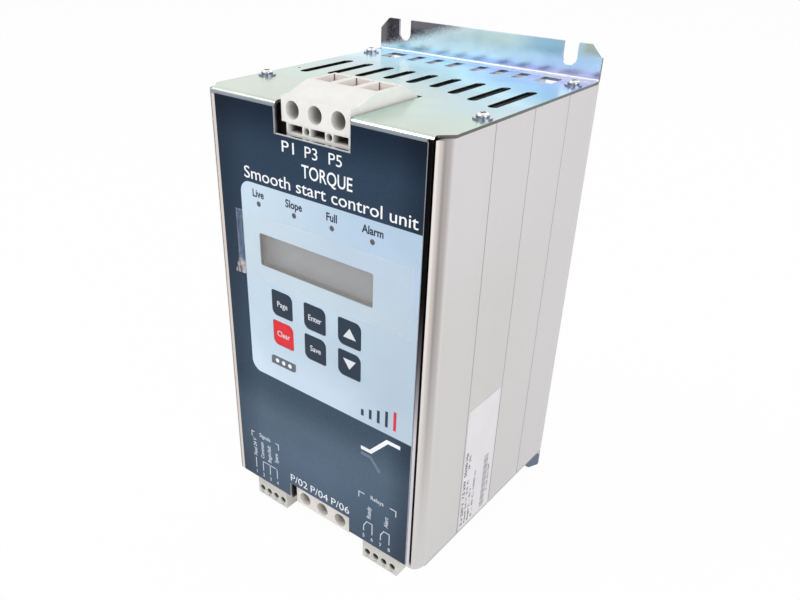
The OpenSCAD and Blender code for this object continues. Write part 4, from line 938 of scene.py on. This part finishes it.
def sticker_lines():
    """Plain rating lines that stand up along the sticker, and a bar code."""
    ink = Print(right_face(sticker_high.x))
    front, low = sticker_low.y, sticker_low.z
    for words, place, start, length, cap, weight in (
            ("3 x 230 V  7.5 kW  50/60 Hz", 1.9, 2.0, 45.0, 2.0, 0.03),
            ("Feed 24 V, 0.2 A", 4.8, 2.0, 27.0, 1.4, 0.02), ("IP 20", 4.8, 36.0, 8.0, 1.4, 0.02),
            ("Begin 2 ... 30 s", 7.6, 2.0, 20.0, 1.4, 0.02),
            ("0 ... 40 C, 1000 m", 10.8, 2.0, 29.0, 1.4, 0.02),
            ("0 123 456 789", 24.0, 10.0, 17.0, 1.3, 0.02)):
        ink.words(words, front + place, low + start + length / 2, cap, width=length, turn=90.0, weight=weight)
    for k in range(26):
        z = low + 2.0 + k * 1.3
        ink.bar(front + 19.0, z, front + 22.2, z, thick=0.3 + (k * 7 % 3) * 0.22)
    ink.done("sticker_print", text_ink, "starter")


label_white_words()
label_fine_words()
label_dark_words()
key_legends()
sticker_lines()
bpy.data.objects.remove(letter_holder)


# Loose film over the display: flat on the label, lifted at its left edge, crumpled at its lower left end

def film_sheet():
    columns, rows = 90, 40
    lift, ripple_lift, crumple_lift, fold_lift, curl = 0.05, 0.06, 0.35, 0.22, 0.5
    drawn_in, wrinkle = 1.7, 0.25
    wide, tall = film_high.x - film_left, film_high.z - film_low.z
    made = bmesh.new()
    grid = []
    for j in range(rows + 1):
        z = film_high.z - tall * j / rows
        row = []
        for i in range(columns + 1):
            x = film_high.x - wide * i / columns
            loose = min(max((field_left + 1.0 - x) / 4.0, 0.0), 1.0)
            end = min(max((film_crumple - z) / (film_crumple - film_low.z), 0.0), 1.0) * loose
            ripple = ripple_lift * loose * (1.0 + math.sin(z * 0.9) * math.cos(x * 0.7))
            fold = math.sin(x * 2.3 + z * 1.7) + 0.8 * math.sin(z * 3.4 - x * 1.6)
            out = lift + ripple + end * (crumple_lift + fold_lift * fold + curl * end)
            x -= drawn_in * end * loose + wrinkle * end * math.sin(z * 2.6)
            row.append(made.verts.new((x * MM, (label_face - max(out, lift)) * MM, z * MM)))
        grid.append(row)
    for j in range(rows):
        for i in range(columns):
            made.faces.new((grid[j][i], grid[j][i + 1], grid[j + 1][i + 1], grid[j + 1][i]))
    mesh = bpy.data.meshes.new("film_sheet")
    made.to_mesh(mesh)
    made.free()
    mesh.shade_smooth()
    mesh.materials.append(film_clear)
    piece = in_scene("film_sheet", mesh)
    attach(piece, "starter")
    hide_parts("protective_film")


film_sheet()


# Stage: floor, light and camera

def white_to_eye(wire):
    """1 for rays that show the background: seen straight on, mirrored or through clear parts."""
    path = wire.node("ShaderNodeLightPath")
    seen = wire.most(path.outputs["Is Camera Ray"], path.outputs["Is Glossy Ray"])
    return wire.most(seen, path.outputs["Is Transmission Ray"])


def pale_floor():
    size = 6.0
    mesh = bpy.data.meshes.new("floor")
    low = cad_box[0].z - 0.2 * MM
    mesh.from_pydata([(-size, -size, low), (size, -size, low), (size, size, low), (-size, size, low)], [],
                     [(0, 1, 2, 3)])
    finish = bpy.data.materials.new("Pale floor")
    finish.use_nodes = True
    wire = Wiring(finish.node_tree)
    shader = finish.node_tree.nodes["Principled BSDF"]
    shader.inputs["Base Color"].default_value = (0.86, 0.86, 0.86, 1.0)
    shader.inputs["Roughness"].default_value = 0.8
    glow = wire.node("ShaderNodeEmission", {"Color": (1.0, 1.0, 1.0, 1.0), "Strength": 1.0})
    share = wire.times(white_to_eye(wire), 0.97)
    mixed = wire.node("ShaderNodeMixShader", {0: share, 1: shader.outputs[0], 2: glow.outputs[0]})
    output = finish.node_tree.nodes["Material Output"]
    wire.feed(output.inputs["Surface"], mixed.outputs[0])
    mesh.materials.append(finish)
    floor = in_scene("floor", mesh)


def soft_world():
    world = bpy.data.worlds.new("Soft room")
    bpy.context.scene.world = world
    world.use_nodes = True
    wire = Wiring(world.node_tree)
    room = world.node_tree.nodes["Background"]
    room.inputs["Color"].default_value = (1.0, 1.0, 1.0, 1.0)
    room.inputs["Strength"].default_value = 0.55
    white = wire.node("ShaderNodeBackground", {"Color": (1.0, 1.0, 1.0, 1.0), "Strength": 1.0})
    mixed = wire.node("ShaderNodeMixShader", {0: white_to_eye(wire), 1: room.outputs[0], 2: white.outputs[0]})
    wire.feed(world.node_tree.nodes["World Output"].inputs["Surface"], mixed.outputs[0])


def soft_lamp(name, place, power, size):
    lamp = bpy.data.lights.new(name, "AREA")
    lamp.energy = power
    lamp.shape = "DISK"
    lamp.size = size
    holder = in_scene(name, lamp)
    holder.location = place
    holder.rotation_mode = "QUATERNION"
    holder.rotation_quaternion = (-Vector(place)).to_track_quat("-Z", "Y")


def photo_camera():
    turn, rise, roll = math.radians(38.82), math.radians(30.10), math.radians(0.85)
    place = Vector((0.1977, -0.3313, 0.1724))
    back = Vector((math.sin(turn) * math.cos(rise), -math.cos(turn) * math.cos(rise), math.sin(rise)))
    right = Vector((math.cos(turn), math.sin(turn), 0.0))
    up = back.cross(right)
    across = right * math.cos(roll) + up * math.sin(roll)
    upright = up * math.cos(roll) - right * math.sin(roll)
    camera = bpy.data.cameras.new("photo_camera")
    camera.lens = 34.607
    camera.sensor_width = 36.0
    camera.shift_x = 0.0441
    camera.shift_y = 0.0425
    camera.clip_start = 0.01
    camera.clip_end = 50.0
    holder = in_scene("photo_camera", camera)
    turned = Matrix((across, upright, back)).transposed().to_4x4()
    holder.matrix_world = Matrix.Translation(place) @ turned
    bpy.context.scene.camera = holder


pale_floor()
soft_world()
soft_lamp("key_lamp", (-0.68, -0.68, 1.12), power=7.4, size=0.6)
soft_lamp("front_lamp", (0.2, -1.3, 0.1), power=3.3, size=1.0)
soft_lamp("side_lamp", (1.2, -0.35, 0.45), power=7.0, size=0.9)
soft_lamp("rear_lamp", (0.1, 1.0, 0.9), power=3.0, size=0.9)
photo_camera()
bpy.context.scene.view_settings.view_transform = "Standard"
